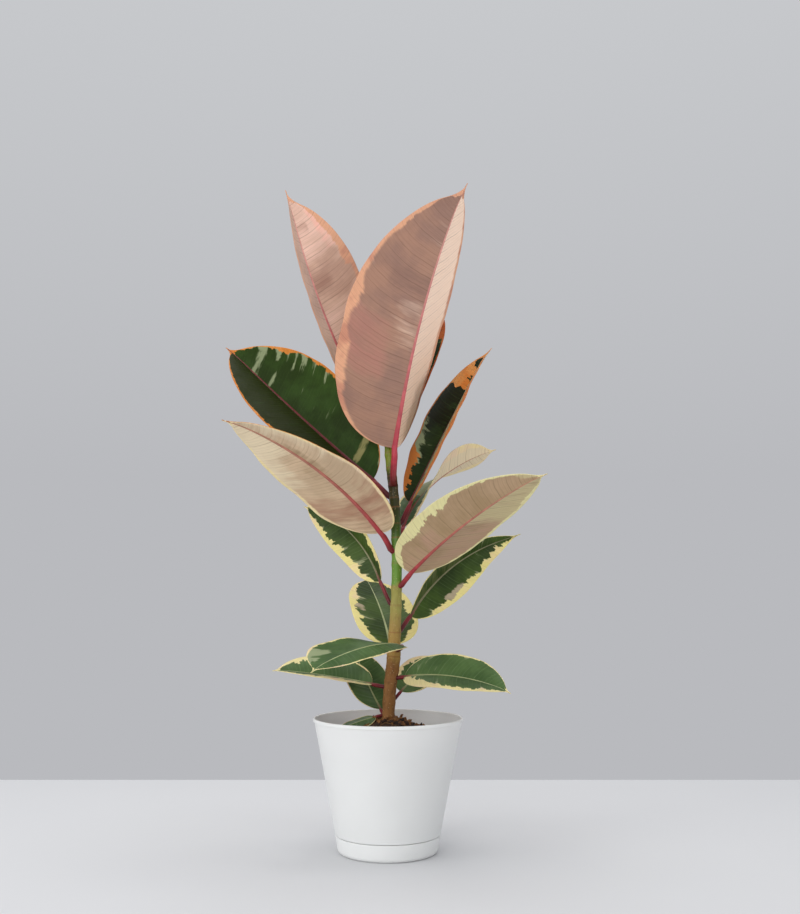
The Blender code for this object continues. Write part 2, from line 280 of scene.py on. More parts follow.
class Finish:
    """What every finish does with the shader inputs that it works out."""

    name: str

    @cache
    def material(self) -> bpy.types.Material:
        """Makes the node material the first time that it is asked for.

        Returns:
            The material.
        """
        made = bpy.data.materials.new(self.name)
        made.use_nodes = True
        shader = made.node_tree.nodes["Principled BSDF"]
        node = partial(add_node, made.node_tree)
        for name, value in self.inputs(node, node("TexCoord")).items():
            plug(value, shader.inputs[name])
        return made

    def inputs(self, node: Callable, place: Socket) -> dict[str, Value]:
        """Works out the shader's inputs.

        Args:
            node: add_node for the material's tree.
            place: the point on the piece, in metres.

        Returns:
            What goes into each input, by its name.
        """
        raise NotImplementedError


@dataclass(frozen=True)
class Lamina(Finish):
    """Waxy leaf tissue. Its pattern follows the side veins: green where both cell layers have
    chlorophyll, greyed where one lacks it, and cream to pink at the margin, where none has it. On
    some leaves its pale patches are painted light and its dusky patches painted shade."""

    name: str
    core: str
    shade: str  # the core's darker clouds
    pale: str
    margin: str
    rim: str  # what the margin's colour drifts to
    blush: str
    dusk: str
    vein: str
    vein_strength: float
    roughness: float
    relief: float  # depth of the side veins, mm
    soft: float = 0.02  # how gradually its patches give way to each other
    grain: float = 0.07  # how much the fibres lighten and darken it
    gloss: float = 0.18

    def inputs(self, node: Callable, place: Socket) -> dict[str, Value]:
        """Reads the blade's vein and tissue attributes.

        Args:
            node: add_node for the material's tree.
            place: the point on the piece.

        Returns:
            The shader's inputs.
        """
        lane, reach, signed = node("SeparateXYZ", node("Attribute", attribute_name="vein"))
        width, bias, flush = node("SeparateXYZ", node("Attribute", attribute_name="tissue"))
        edge = node("ABSOLUTE", signed)

        # Side veins wander by about 1 mm, and each half of the blade has its own
        lane = node("MULTIPLY_ADD", node("SIGN", signed), 400.0, lane)
        lane = node("MULTIPLY_ADD", node("TexNoise", place, 70.0, 2.0), 2.2, lane)

        # Teeth: strips 5.2 and 1.9 mm wide between side veins end at their own distance from the margin
        wide, thin = (node("TexWhiteNoise", node("FLOOR", node("DIVIDE", lane, strip))) for strip in (5.2, 1.9))
        streak = node("CombineXYZ", lane, node("MULTIPLY", reach, 0.22))
        drift = node("TexNoise", streak, 0.055, 2.0, 0.6)
        comb = node("MULTIPLY_ADD", thin, 0.2, node("MULTIPLY_ADD", wide, 0.45, drift))
        sway = node("MULTIPLY_ADD", width, 1.6 - 5 * self.soft, 0.02)
        border = node("MULTIPLY_ADD", node("SUBTRACT", comb, 0.82), sway, width)
        inside = node("SUBTRACT", node("SUBTRACT", 1.0, edge), node("MAXIMUM", border, 0.015))
        green = node("MapRange", inside, 0.0, 0.014 + self.soft * 0.25, **SMOOTH)

        cloud = node("MapRange", node("TexNoise", place, 26.0, 3.0, 0.6), 0.35, 0.65, **SMOOTH)
        colour = node("Mix", cloud, self.core, self.shade)

        # Patches: tongues along the veins, thickest inside the margin or where a sector calls for them.
        # The pale and dusky ones are greyed and dusky tissue, and on some leaves painted light and painted shade
        tongue = node("MULTIPLY_ADD", wide, 0.1, node("TexNoise", streak, 0.11, 3.0, 0.55))
        tongue = node("MULTIPLY_ADD", tongue, 1 - 3 * self.soft, 1.65 * self.soft)
        near = node("MapRange", inside, 0.0, 0.22, 0.13, 0.0)
        blend = max(self.soft, 0.06)
        for pull, start, code in (
            (node("ADD", bias, near), 0.72, self.pale),
            (flush, 0.9, self.blush),
            (node("MULTIPLY", flush, -1.0), 0.9, self.dusk),
        ):
            share = node("ADD", tongue, pull)
            share = node("MapRange", share, start - 0.4 * blend, start + 1.6 * blend, **SMOOTH)
            colour = node("Mix", share, colour, code)
        rim = node("MapRange", node("MULTIPLY", cloud, drift), 0.25, 0.6)
        colour = node("Mix", green, node("Mix", rim, self.margin, self.rim), colour)

        # Fibres along the side veins, 1 mm wide, lighten and darken the tissue by a few hundredths
        fibre = node("CombineXYZ", lane, node("MULTIPLY", reach, 0.04))
        fibre = node("TexNoise", fibre, 0.9, 3.0, 0.7)
        tint = node("MapRange", fibre, 0.3, 0.7, 1 - self.grain, 1 + self.grain)
        colour = node("Mix", 1.0, colour, tint, blend_type="MULTIPLY")

        # Main side veins with two finer ones between, as real ones lie
        main, fine = (
            node("MapRange", node("PINGPONG", node("DIVIDE", lane, gap), 1.0), low, 1.0, **SMOOTH)
            for gap, low in ((VEIN_GAP, 0.88), (VEIN_GAP / 3, 0.66))
        )
        lines = node("MULTIPLY_ADD", fine, 0.6, main)
        fade = node("MapRange", edge, 0.0, 1.0, self.vein_strength, self.vein_strength * 0.35)
        faint = node("MapRange", drift, 0.35, 0.65, 0.45, 1.2)
        colour = node("Mix", node("MULTIPLY", node("MULTIPLY", lines, fade), faint), colour, self.vein)

        # The cuticle: wax that is a little uneven, over a net of cells drawn at 1.2 mm so that it shows
        cells = node("MapRange", node("TexVoronoi", place, 850.0, feature="DISTANCE_TO_EDGE"), 0.0, 0.25)
        height = node("MULTIPLY_ADD", lines, -0.5, node("MULTIPLY", cells, 0.07))
        wax = node("TexNoise", place, 120.0, 3.0)
        return {
            "Base Color": colour,
            "Roughness": node("MapRange", wax, 0.3, 0.7, self.roughness - 0.06, self.roughness + 0.08),
            "Normal": node("Bump", height, self.relief * MM, 0.8),
            "IOR": 1.45,
            "Specular IOR Level": self.gloss,
        }


@dataclass(frozen=True)
class Sinew(Finish):
    """Midrib and leaf stalk: juicy tissue under a smooth skin, red where the plant is young."""

    name: str
    under: str
    upper: str
    tip: str
    foot: str

    def inputs(self, node: Callable, place: Socket) -> dict[str, Value]:
        """Reads the stalk's run attribute.

        Args:
            node: add_node for the material's tree.
            place: the point on the piece.

        Returns:
            The shader's inputs.
        """
        run, facing, turn = node("SeparateXYZ", node("Attribute", attribute_name="run"))
        mottle = node("TexNoise", place, 160.0, 3.0)
        face = node("MapRange", node("MULTIPLY_ADD", mottle, 0.5, facing), 0.35, 0.75, **SMOOTH)
        face = node("MULTIPLY", face, node("MapRange", run, -0.02, 0.12))
        colour = node("Mix", face, self.under, self.upper)
        colour = node("Mix", node("MapRange", run, 0.0, 0.75, 0.0, 0.85), colour, self.tip)
        colour = node("Mix", node("MapRange", run, -0.2, -0.08, 0.85, 0.0), colour, self.foot)
        dapple = node("MapRange", mottle, 0.3, 0.7, 0.8, 1.15)
        # Lengthwise fibres, about eight round the stalk
        fibre = node("TexNoise", node("CombineXYZ", node("MULTIPLY", turn, 8.0), run), 1.0, 2.0)
        return {
            "Base Color": node("Mix", 1.0, colour, dapple, blend_type="MULTIPLY"),
            "Roughness": 0.38,
            "Normal": node("Bump", fibre, 0.2 * MM, 0.5),
            "Specular IOR Level": 0.3,
        }


class Bark(Finish):
    """Thin living bark: brown and corky low down, tan above, then green where it is this year's growth."""

    name = "ringed ficus bark"
    zones = (  # height where each colour gives way to the next, and how softly
        (0, 0, "#8C6030"), (186, 3, "#A68442"), (212, 12, "#9E8444"), (232, 8, "#9C944A"), (250, 6, "#958E42"),
        (262, 4, "#628A28"), (300, 12, "#507028"), (322, 14, "#3F4419"), (350, 12, "#3F3513"), (378, 8, "#7E8A22"),
    )

    def inputs(self, node: Callable, place: Socket) -> dict[str, Value]:
        """Reads the stem's run attribute.

        Args:
            node: add_node for the material's tree.
            place: the point on the piece.

        Returns:
            The shader's inputs.
        """
        run, ring, turn = node("SeparateXYZ", node("Attribute", attribute_name="run"))
        level = node("MULTIPLY_ADD", node("TexNoise", place, 90.0, 4.0, 0.6), 26.0, run)
        colour = self.zones[0][2]
        for height, soft, code in self.zones[1:]:
            height += 13.0  # half of what the noise adds
            colour = node("Mix", node("MapRange", level, height - soft, height + soft), colour, code)
        old = node("MapRange", run, 190.0, 270.0, 1.0, 0.25)
        # Corky streaks, 1.5 mm wide and 12 mm long
        grain = node("CombineXYZ", node("MULTIPLY", turn, 4.5), node("MULTIPLY", run, 0.08))
        grain = node("TexNoise", grain, 1.0, 4.0, 0.65)
        dark = node("MULTIPLY", node("MULTIPLY", node("MapRange", grain, 0.5, 0.72), old), 0.65)
        colour = node("Mix", dark, colour, "#4E3018")
        # Lenticels, and the leaf scars
        dots = node("MULTIPLY", node("MapRange", node("TexVoronoi", place, 330.0), 0.2, 0.12), 0.5)
        colour = node("Mix", dots, colour, "#C9A876")
        height = node("MULTIPLY_ADD", dots, 0.6, node("MULTIPLY", grain, old))
        return {
            "Base Color": node("Mix", node("MULTIPLY", ring, 0.75), colour, "#8A5A2C"),
            "Roughness": node("MapRange", run, 200.0, 280.0, 0.75, 0.42),
            "Normal": node("Bump", height, 0.5 * MM, 0.9),
            "IOR": 1.45,
        }


class Sheath(Finish):
    """The bud's papery red stipule, rolled to a point."""

    name = "rolled bud sheath"

    def inputs(self, node: Callable, place: Socket) -> dict[str, Value]:
        """Reads the bud's run attribute.

        Args:
            node: add_node for the material's tree.
            place: not used.

        Returns:
            The shader's inputs.
        """
        run, _, turn = node("SeparateXYZ", node("Attribute", attribute_name="run"))
        vein = node("TexNoise", node("CombineXYZ", node("MULTIPLY", turn, 9.0), run), 1.0, 3.0)
        tint = node("MapRange", vein, 0.4, 0.7, 0.0, 0.5)
        return {
            "Base Color": node("Mix", tint, node("Mix", run, "#B8444B", "#D9776A"), "#8E2A38"),
            "Roughness": 0.4,
            "Normal": node("Bump", vein, 0.2 * MM, 0.6),
        }


class Plastic(Finish):
    """White polypropylene, injection moulded: an even satin skin with a very fine texture."""

    name = "white moulded polypropylene"

    def inputs(self, node: Callable, place: Socket) -> dict[str, Value]:
        """Lets a little light into the wall, as thin polypropylene does.

        Args:
            node: add_node for the material's tree.
            place: the point on the piece.

        Returns:
            The shader's inputs.
        """
        # The mould's spark texture is about 0.1 mm: drawn at 0.5 mm so that it shows
        grain = node("TexNoise", place, 2000.0, 2.0)
        flow = node("TexNoise", place, 14.0, 2.0)
        return {
            "Base Color": node("Mix", node("MapRange", flow, 0.3, 0.7), "#F0F1EF", "#ECEDEB"),
            "Roughness": node("MapRange", flow, 0.3, 0.7, 0.42, 0.5),
            "Normal": node("Bump", grain, 0.05 * MM, 0.25),
            "IOR": 1.49,
            "Subsurface Weight": 0.4,
            "Subsurface Scale": 3 * MM,
            "Subsurface Radius": (1, 1, 1),
        }


@dataclass(frozen=True)
class Crumb(Finish):
    """Loose growing medium: peat, coir or bark, matt and broken."""

    name: str
    light: str
    dark: str
    grain: float  # mm

    def inputs(self, node: Callable, place: Socket) -> dict[str, Value]:
        """Breaks the two colours up at the size of a crumb.

        Args:
            node: add_node for the material's tree.
            place: the point on the piece.

        Returns:
            The shader's inputs.
        """
        fine = node("TexNoise", place, 1000 / self.grain, 5.0, 0.7)
        share = node("ADD", fine, node("TexNoise", place, 120.0, 2.0))
        return {
            "Base Color": node("Mix", node("MapRange", share, 0.8, 1.2), self.dark, self.light),
            "Roughness": 0.95,
            "Normal": node("Bump", fine, 0.4 * MM, 1.0),
        }


class Laminate(Finish):
    """A matt pale laminate for the table top."""

    name = "pale laminate"

    def inputs(self, node: Callable, place: Socket) -> dict[str, Value]:
        """Clouds it a little, as large sheets are."""
        return {"Base Color": node("Mix", node("TexNoise", place, 3.0, 3.0), "#DADADC", "#DDDDDE"), "Roughness": 0.7}


# ---------------------------------------------------------------------------- growth


class Half(Enum):
    """A half of a blade, seen from above with the stalk at the bottom."""

    LEFT = 1
    RIGHT = -1
    BOTH = 0


class Tone(Enum):
    """What a sector's tissue has more of. On some leaves PALE is painted light and DUSK painted shade."""

    MARGIN = "colourless margin"
    # greyed tissue; painted light and a painted highlight on leaf_11 and leaf_15
    PALE = "greyed patch"
    BLUSH = "pink flush"
    # dusky tissue; painted shade on leaf_11 and leaf_14
    DUSK = "dusky patch"


@dataclass(frozen=True)
class Sector:
    """A stretch of a blade between two side veins, as shares of the blade's length, whose pattern differs.

    Depth is how far it reaches in from the margin, as a share of the half's width. A negative one
    reaches out from the midrib.
    """

    tone: Tone
    half: Half
    start: float
    end: float
    depth: float = 1.0
    amount: float = 0.3
    soft: float = 0.02

    inward, outward = 0.2, 0.12  # how far its edge fades to either side, as shares of the half's width

    def share(self, vein: float, across: float) -> float:
        """How strongly the sector holds.

        Args:
            vein: where the point's side vein leaves the midrib, as a share of the blade's length.
            across: from -1 at the right margin to 1 at the left.

        Returns:
            A share from 0 to 1.
        """
        if self.half.value == (-1 if across > 0 else 1):
            return 0.0
        start, end, soft = self.start, self.end, self.soft
        share = window(vein, start - soft, start + soft, end - soft, end + soft)
        if self.tone is Tone.MARGIN or self.depth == 1:
            return share
        edge = 1 - self.depth if self.depth > 0 else -self.depth
        inside = smooth(abs(across), edge - self.inward, edge + self.outward)
        return share * (inside if self.depth > 0 else 1 - inside)


@dataclass(frozen=True)
class Stem:
    """The stem: (height, x, y, radius) stations from its root end to its growing tip."""

    stations: tuple[tuple[float, float, float, float], ...] = (
        (75, 0, 0, 3.5), (100, 0, 0, 6.5), (128, 0, 0, 6.2), (160, 2, 0.5, 6.1), (185, 5, 1, 6.7),
        (212, 6.5, 1, 6.2), (245, 8, 0.5, 5.4), (285, 8.7, -0.5, 5.1), (325, 7.5, -0.5, 4.9), (360, 5, 0, 4.8),
        (395, 1, 0.5, 4.5), (424, -1, 1, 3.6),
    )
    sides: int = 28
    step: float = 1.2
    scar_reach: float = 3.6  # how far above and below a leaf scar it swells
    swell: float = 0.55
    groove_rise: float = 1.2  # how far over the scar its groove lies
    groove_reach: float = 0.55
    groove: float = 0.35
    lumps: tuple[Pair, ...] = ((1, 0.28), (3.1, 0.14))  # how fine they are, and how high
    young: Pair = (190, 280)  # the heights between which its bark turns smooth
    smoothing: float = 0.6  # the share of its lumps that it loses there

    def at(self, level: float) -> tuple[Vector, float]:
        """The stem's centre and radius at a height.

        Args:
            level: the height above the floor in millimetres.

        Returns:
            The centre and the radius in metres, eased between the stations.
        """
        rows = self.stations
        level = min(max(level, rows[0][0]), rows[-1][0])
        upper = next(i for i in range(1, len(rows)) if level <= rows[i][0])
        before, low, high, after = (rows[min(max(upper + k, 0), len(rows) - 1)] for k in (-2, -1, 0, 1))
        span = high[0] - low[0]
        t = (level - low[0]) / span
        x, y, radius = (
            (2 * t**3 - 3 * t**2 + 1) * b
            + (3 * t**2 - 2 * t**3) * c
            + (t**3 - 2 * t**2 + t) * ((c - a) / (high[0] - before[0]) * span)
            + (t**3 - t**2) * ((d - b) / (after[0] - low[0]) * span)
            for a, b, c, d in zip(before[1:], low[1:], high[1:], after[1:])
        )
        return Vector((x, y, level)) * MM, radius * MM

    def build(self, scars: Sequence[float]) -> None:
        """Builds the stem with a swollen ring and a groove at each leaf scar.

        Args:
            scars: their heights.
        """
        low, high = self.stations[0][0], self.stations[-1][0]
        count = round((high - low) / self.step)
        levels = [low + (high - low) * i / count for i in range(count + 1)]
        stops = [self.at(level) for level in levels]
        swells, grooves = [], []
        for at in levels:
            swells.append(min(sum(math.exp(-(((at - scar) / self.scar_reach) ** 2)) for scar in scars), 1.0))
            over = min(abs(at - scar - self.groove_rise) for scar in scars)
            grooves.append(math.exp(-((over / self.groove_reach) ** 2)))
        frames = []
        for index, (centre, _) in enumerate(stops):
            ahead = stops[min(index + 1, count)][0] - stops[max(index - 1, 0)][0]
            frames.append(upright(centre, ahead.normalized()))

        def section(ring: int, angle: float) -> Pair:
            """Rounds the stem, lumpier where it is old.

            Args:
                ring: the ring's number.
                angle: how far round it.

            Returns:
                The offsets along side and up.
            """
            spot = Vector((math.cos(angle) * 1.6, math.sin(angle) * 1.6, levels[ring] / 16))
            lump = sum(noise.noise(spot * fine) * height for fine, height in self.lumps)
            lump *= 1 - self.smoothing * smooth(levels[ring], *self.young)
            radius = stops[ring][1] + (self.swell * swells[ring] - self.groove * grooves[ring] + lump) * MM
            return math.cos(angle) * radius, math.sin(angle) * radius

        shape = tube(frames, self.sides, section, lambda ring, _: (levels[ring], grooves[ring]))
        enter(mesh_object("stem_bark", shape, Bark()), "stem_bark", "stem")


@dataclass(frozen=True)
class Growth:
    """How one leaf grows: the same figures as its solid."""

    node: float
    azimuth: float
    petiole: float
    petiole_rise: float
    length: float
    width: float
    rise: float
    tip_rise: float
    turn: float = 0
    roll: float = 0
    twist: float = 0
    fold: float = 10
    widest: float = 0.45
    left: float = 1.0  # the left half's width, as a share of the even one
    right: float = 1.0
    foot: float = 3.0  # the higher, the blunter the blade's foot
    crown: float = 2.0  # the higher, the blunter its far end
    swing: float = 0.0  # how far round the stem from the blade's azimuth the stalk starts
    skew: float = 0.0  # how far the left half slips towards the foot for each millimetre outwards

    arch = 0.13  # how far a half bulges between midrib and margin, as a share of its width
    root_gap = 0.3  # from the stem to the stalk's foot, mm
    root_radius = 2.205  # what the stalk's is taken to be there, mm
    curl_start = 0.82  # where the tip bends on, as a share of the blade's length
    petiole_steps = 14
    march_steps = 400
    blade_end = 0.95
    shoulder = 0.925  # where the drip tip starts, as a share of the blade's length
    draw = 2.1  # the higher, the more slender it is
    tip_width = 0.4  # half the width of its point, mm

    def half_width(self, along: float, across: float) -> float:
        """How wide a half of the blade is.

        Args:
            along: the share of the blade's length.
            across: which half, by its sign.

        Returns:
            The width in millimetres, with the drip tip's.
        """
        body = min(along, self.shoulder) / self.blade_end
        if body < self.widest:
            half = (1 - (1 - body / self.widest) ** self.foot) ** 0.5
        else:
            share = min((body - self.widest) / (1 - self.widest), 1)
            half = (1 - share**self.crown) ** 0.7
        half *= self.width / 2 * (self.left if across > 0 else self.right)
        if along > self.shoulder:
            half *= ((1 - along) / (1 - self.shoulder)) ** self.draw
        return math.hypot(half, self.tip_width)

    def stalk_frames(self, stem: Stem) -> list[Frame]:
        """Frames of the leaf stalk from the stem's surface to the foot of the blade.

        Args:
            stem: the stem that the leaf grows on.

        Returns:
            One frame for each step.
        """
        centre, radius = stem.at(self.node)
        tilt = abs(math.sin(math.radians(self.petiole_rise)))
        clear = radius + (self.root_gap + self.root_radius * tilt) * MM
        point = centre + heading(self.azimuth + self.swing, 0) * clear
        frames = []
        for step in range(self.petiole_steps + 1):
            share, middle = step / self.petiole_steps, (step + 0.5) / self.petiole_steps
            (azimuth, slope), (next_azimuth, next_slope) = (
                (self.azimuth + self.swing * (1 - s), self.petiole_rise + (self.rise - self.petiole_rise) * s**2)
                for s in (share, middle)
            )
            frames.append(framed(point, heading(azimuth, slope), azimuth, self.roll * share))
            point = point + heading(next_azimuth, next_slope) * (self.petiole * MM / self.petiole_steps)
        return frames

    def blade_frames(self, stem: Stem, curl: float, shares: Sequence[float]) -> list[Frame]:
        """Frames along the midrib.

        Args:
            stem: the stem that the leaf grows on.
            curl: how far the tip bends to the underside beyond the solid's, in degrees.
            shares: where the frames lie, as shares of the blade's length.

        Returns:
            One frame for each share.
        """
        point = self.stalk_frames(stem)[-1][0]
        marched = []
        for index in range(self.march_steps + 1):
            share = index / self.march_steps
            azimuth = self.azimuth + self.turn * share
            along = heading(azimuth, self.rise + (self.tip_rise - self.rise) * share)
            _, along, side, up = framed(point, along, azimuth, self.roll + self.twist * share)
            bend = Quaternion(side, math.radians(curl * smooth(share, self.curl_start, 1)))
            marched.append((point, bend @ along, side, bend @ up))
            point = point + bend @ along * (self.length * MM / self.march_steps)
        found = []
        for share in shares:
            place = share * self.march_steps
            index = min(int(place), self.march_steps - 1)
            found.append(tuple(x.lerp(y, place - index) for x, y in zip(*marched[index : index + 2])))
        return found


@dataclass(frozen=True)
class Habit:
    """How one leaf looks: its tissues and what its margin does."""

    top: Lamina
    under: Lamina
    sinew: Sinew
    margin: float = 0.08  # mean width of the margin's colour, as a share of the half's width
    wave: float = 1.2  # how far the margin undulates, mm
    pitch: float = 46  # length of an undulation, mm
    curl: float = 8
    stalk: float = 2.0  # radius of the leaf stalk, mm
    rib: float = 0.32  # how much of it the midrib keeps towards the tip
    quilt: float = 0.12  # how far the blade swells between side veins, mm


@dataclass(frozen=True)
class Leaf:
    """One leaf: a blade and the stalk that runs on as its midrib."""

    number: int  # sets the leaf's own patch of each pattern
    growth: Growth
    habit: Habit
    sectors: Sequence[Sector] = ()

    rows = 104
    lanes = 13  # columns of a half between its midrib strip and its rim strip
    midrib_strip, blade_strip = 0.02, 0.965  # shares of a half's width that they take
    slant, tip_slant, rim_slant = 0.08, 0.34, 0.16  # how far a side vein runs on for each mm outwards
    thickness = 0.5
    wavy = (0.02, 0.2, 0.65, 0.95)  # the window along the blade in which its margin undulates
    waver = 1.9  # how uneven its undulations are
    quilted = (0.02, 0.3, 0.8, 1)  # the window across a half in which it swells between side veins
    wander = 3.5  # how far a sector's edge strays from its side vein, mm
    bare_tip = (0.92, 0.96)  # where the margin's colour takes over the whole tip
    sides = 16
    rib_steps = 70
    flare, flare_fall = 0.3, 9  # how much wider the stalk's foot is, and how soon that is over
    taper = 0.27  # the share of the midrib over which most of its thinning happens
    point = 0.8  # how much thinner still its tip is
    thinnest = 0.1  # mm
    belly = 0.25  # how much flatter than the stalk it is underneath
    crest = 0.45  # how far the midrib stands out of the blade's top, mm
    roots = ((1.6, 2), (3.84, 4.5))  # how far in and down the stalk's first rings lie, from its foot into the stem, mm
    patch = 173  # how far apart the leaves' patches of the pattern lie, mm

    def offset(self, along: float, across: float) -> tuple[float, float, float]:
        """How far a point of the blade lies from the midrib.

        Args:
            along: the share of the blade's length.
            across: from -1 at the right margin to 1 at the left.

        Returns:
            The distances along side, up and back towards the foot, in metres.
        """
        growth, habit, out = self.growth, self.habit, abs(across)
        reach = growth.half_width(along, across) * out
        fold = math.radians(growth.fold)
        arch = math.copysign(growth.arch, growth.fold) * reach * (1 - out)
        run = along * growth.length / habit.pitch
        # Each leaf and each half reads the noise at a place of its own
        ripple = noise.noise(Vector((run * self.waver, self.number * 7.3, 4.1 * math.copysign(1, across))))
        ripple *= NOISE_SPAN * habit.wave * out**2 * window(along, *self.wavy)
        quilt = habit.quilt * math.sin(math.tau * self.lane(along, across) / VEIN_GAP) * window(out, *self.quilted)
        lift = math.sin(fold) * reach + arch + ripple + quilt
        signed = math.copysign(reach, across)
        return math.cos(fold) * signed * MM, lift * MM, growth.skew * signed * MM

    def lane(self, along: float, across: float) -> float:
        """Where the side vein through a point leaves the midrib, in millimetres from the blade's foot."""
        reach = self.growth.half_width(along, across) * abs(across)
        return along * self.growth.length - reach * (self.slant + self.tip_slant * along + self.rim_slant * across**2)

    def tissue(self, lane: float, across: float) -> Vector:
        """What the tissue is at a point.

        Args:
            lane: where its side vein leaves the midrib, in millimetres.
            across: from -1 at the right margin to 1 at the left.

        Returns:
            The margin's width, the bias to greyed tissue and painted light, and the flush, which is
            negative where dusky tissue lies and where shade is painted.
        """
        margin, pale, flush = self.habit.margin, 0.0, 0.0
        lane += self.wander * noise.noise(Vector((lane / 9, across * 5, self.number)))
        vein = lane / self.growth.length
        for sector in self.sectors:
            share = sector.share(vein, across)
            if sector.tone is Tone.MARGIN:
                margin += (sector.depth - margin) * share
            elif sector.tone is Tone.PALE:
                pale += sector.amount * share
            else:
                flush += sector.amount * share * (1 if sector.tone is Tone.BLUSH else -1)
        return Vector((max(margin, 1.1 * smooth(vein, *self.bare_tip)), pale, flush))

    def build(self, stem: Stem) -> None:
        """Builds the blade, closest ruled at its ends, its midrib and its rims, and the stalk.

        Args:
            stem: the stem that it grows on.
        """
        name, habit = f"leaf_{self.number:02}", self.habit
        rows = [0.5 - 0.5 * math.cos(math.pi * row / self.rows) for row in range(self.rows + 1)]
        half = [self.midrib_strip + self.blade_strip * lane / self.lanes for lane in range(self.lanes + 1)] + [1.0]
        columns = [-share for share in reversed(half)] + [0.0] + half
        sheet = bmesh.new()
        bmesh.ops.create_grid(sheet, x_segments=len(rows) - 1, y_segments=len(columns) - 1, size=1)
        vein, tissue = (sheet.verts.layers.float_vector.new(layer) for layer in ("vein", "tissue"))
        frames = self.growth.blade_frames(stem, habit.curl, rows)
        for vertex in sheet.verts:
            row = round((vertex.co.x + 1) / 2 * (len(rows) - 1))
            along = rows[row]
            across = columns[round((vertex.co.y + 1) / 2 * (len(columns) - 1))]
            point, forward, side, up = frames[row]
            sideways, lift, back = self.offset(along, across)
            lane, reach = self.lane(along, across), self.growth.half_width(along, across) * across
            vertex.co = point + side * sideways + up * lift - forward * back
            vertex[vein] = Vector((lane + self.number * self.patch, reach, across))
            vertex[tissue] = self.tissue(lane, across)
        blade = mesh_object(f"{name}_blade", sheet, habit.top, habit.under)
        shell = blade.modifiers.new("thickness", "SOLIDIFY")
        shell.thickness = self.thickness * MM
        shell.offset = 0
        shell.material_offset = 1
        slot = "young_leaf" if habit.sinew is CRIMSON else "mature_leaf"
        enter(blade, slot, name)
        enter(mesh_object(f"{name}_stalk", self.stalk(stem), habit.sinew), slot)

    def stalk(self, stem: Stem) -> bmesh.types.BMesh:
        """The stalk and midrib as one tube that starts inside the stem and thins to the tip.

        Args:
            stem: the stem that it grows on.

        Returns:
            The tube's mesh.
        """
        growth, habit = self.growth, self.habit
        frames = growth.stalk_frames(stem)
        point, along, side, up = frames[0]
        outward = heading(growth.azimuth + growth.swing, 0)
        for depth, back in self.roots:
            frames.insert(0, (point - (outward * depth + along * back) * MM, along, side, up))
        foot = len(frames)
        shares = [step / self.rib_steps for step in range(1, self.rib_steps)]
        frames += growth.blade_frames(stem, habit.curl, shares)
        runs = [(ring - foot + 1) / self.rib_steps for ring in range(len(frames))]
        sizes, flats = [], []
        for ring, run in enumerate(runs):
            foot_share = min(ring / foot, 1)
            run = max(run, 0)
            thin = ((1 - habit.rib) * math.exp(-run / self.taper) + habit.rib) * (1 - self.point * run**4)
            flare = self.flare * math.exp(-foot_share * self.flare_fall)
            sizes.append(habit.stalk * (1 + flare) * thin + self.thinnest)
            flats.append(smooth(foot_share, 0.7, 1.0))

        fold = math.radians(growth.fold)
        valley = math.tan(fold) + math.copysign(growth.arch, fold) / math.cos(fold)

        def section(ring: int, angle: float) -> Pair:
            """Rounds the stalk, and sinks its top into the blade's valley where it is the midrib.

            Args:
                ring: the ring's number.
                angle: how far round it.

            Returns:
                The offsets along side and up.
            """
            size, flat = sizes[ring], flats[ring]
            below, above = size * (1 - self.belly * flat), size + (min(self.crest, size) - size) * flat
            tall = below if math.sin(angle) < 0 else above
            lift = abs(math.cos(angle)) * size * valley * flat
            return math.cos(angle) * size * MM, (math.sin(angle) * tall + lift) * MM

        return tube(frames, self.sides, section, lambda ring, angle: (runs[ring], math.sin(angle)))


# ---------------------------------------------------------------------------- the plant's own tables

GREEN_TOP = Lamina(
    "waxy leaf top, cream margin", "#54703F", "#405A30", "#949E78", "#EEE0A2", "#EDCBAA", "#A99C80", "#33502C",
    "#8CA872", 0.16, 0.4, 0.2, gloss=0.24,
)
OLIVE_TOP = Lamina(
    "waxy leaf top, yellow margin", "#42581F", "#2E4016", "#93976F", "#EADC90", "#F0D6A4", "#B0A184", "#565E34",
    "#7C9460", 0.16, 0.4, 0.2, gloss=0.22,
)
# Its dusk colour is painted shade on leaf_14's left half
DEEP_TOP = Lamina(
    "waxy leaf top, orange margin", "#344B1C", "#283812", "#8C9670", "#D08038", "#DA9A5C", "#98925E", "#242C04",
    "#425C29", 0.16, 0.42, 0.2, gloss=0.08,
)
RUST_TOP = Lamina(
    "waxy leaf top, rust margin", "#1F2F14", "#18260F", "#4E5A2E", "#A84C1A", "#BC642A", "#5E4A26", "#141C0C",
    "#3F5B2B", 0.16, 0.4, 0.2, gloss=0.15,
)
TAN_UNDER = Lamina(
    "matt leaf underside, tan", "#CDB0A0", "#BC9E8C", "#D2BEA2", "#EEE4A8", "#EDD2AE", "#B98A78", "#9A7A6C", "#94746A",
    0.35, 0.5, 0.18, 0.1,
)
# On leaf_11 its dusk colour is painted shade beside the midrib
SAND_UNDER = Lamina(
    "matt leaf underside, sand", "#D2B797", "#C2A88A", "#E3D1B1", "#EDD9A6", "#E9CFB0", "#A67C64", "#A58B6B", "#9A8064",
    0.4, 0.5, 0.18, 0.17,
)
OLIVE_UNDER = Lamina(
    "matt leaf underside, olive", "#B6997A", "#A68B6A", "#CABA8E", "#EAE2A8", "#E4D6A4", "#B8957C", "#9C8A66",
    "#7E6A4C", 0.45, 0.5, 0.18, 0.1,
)
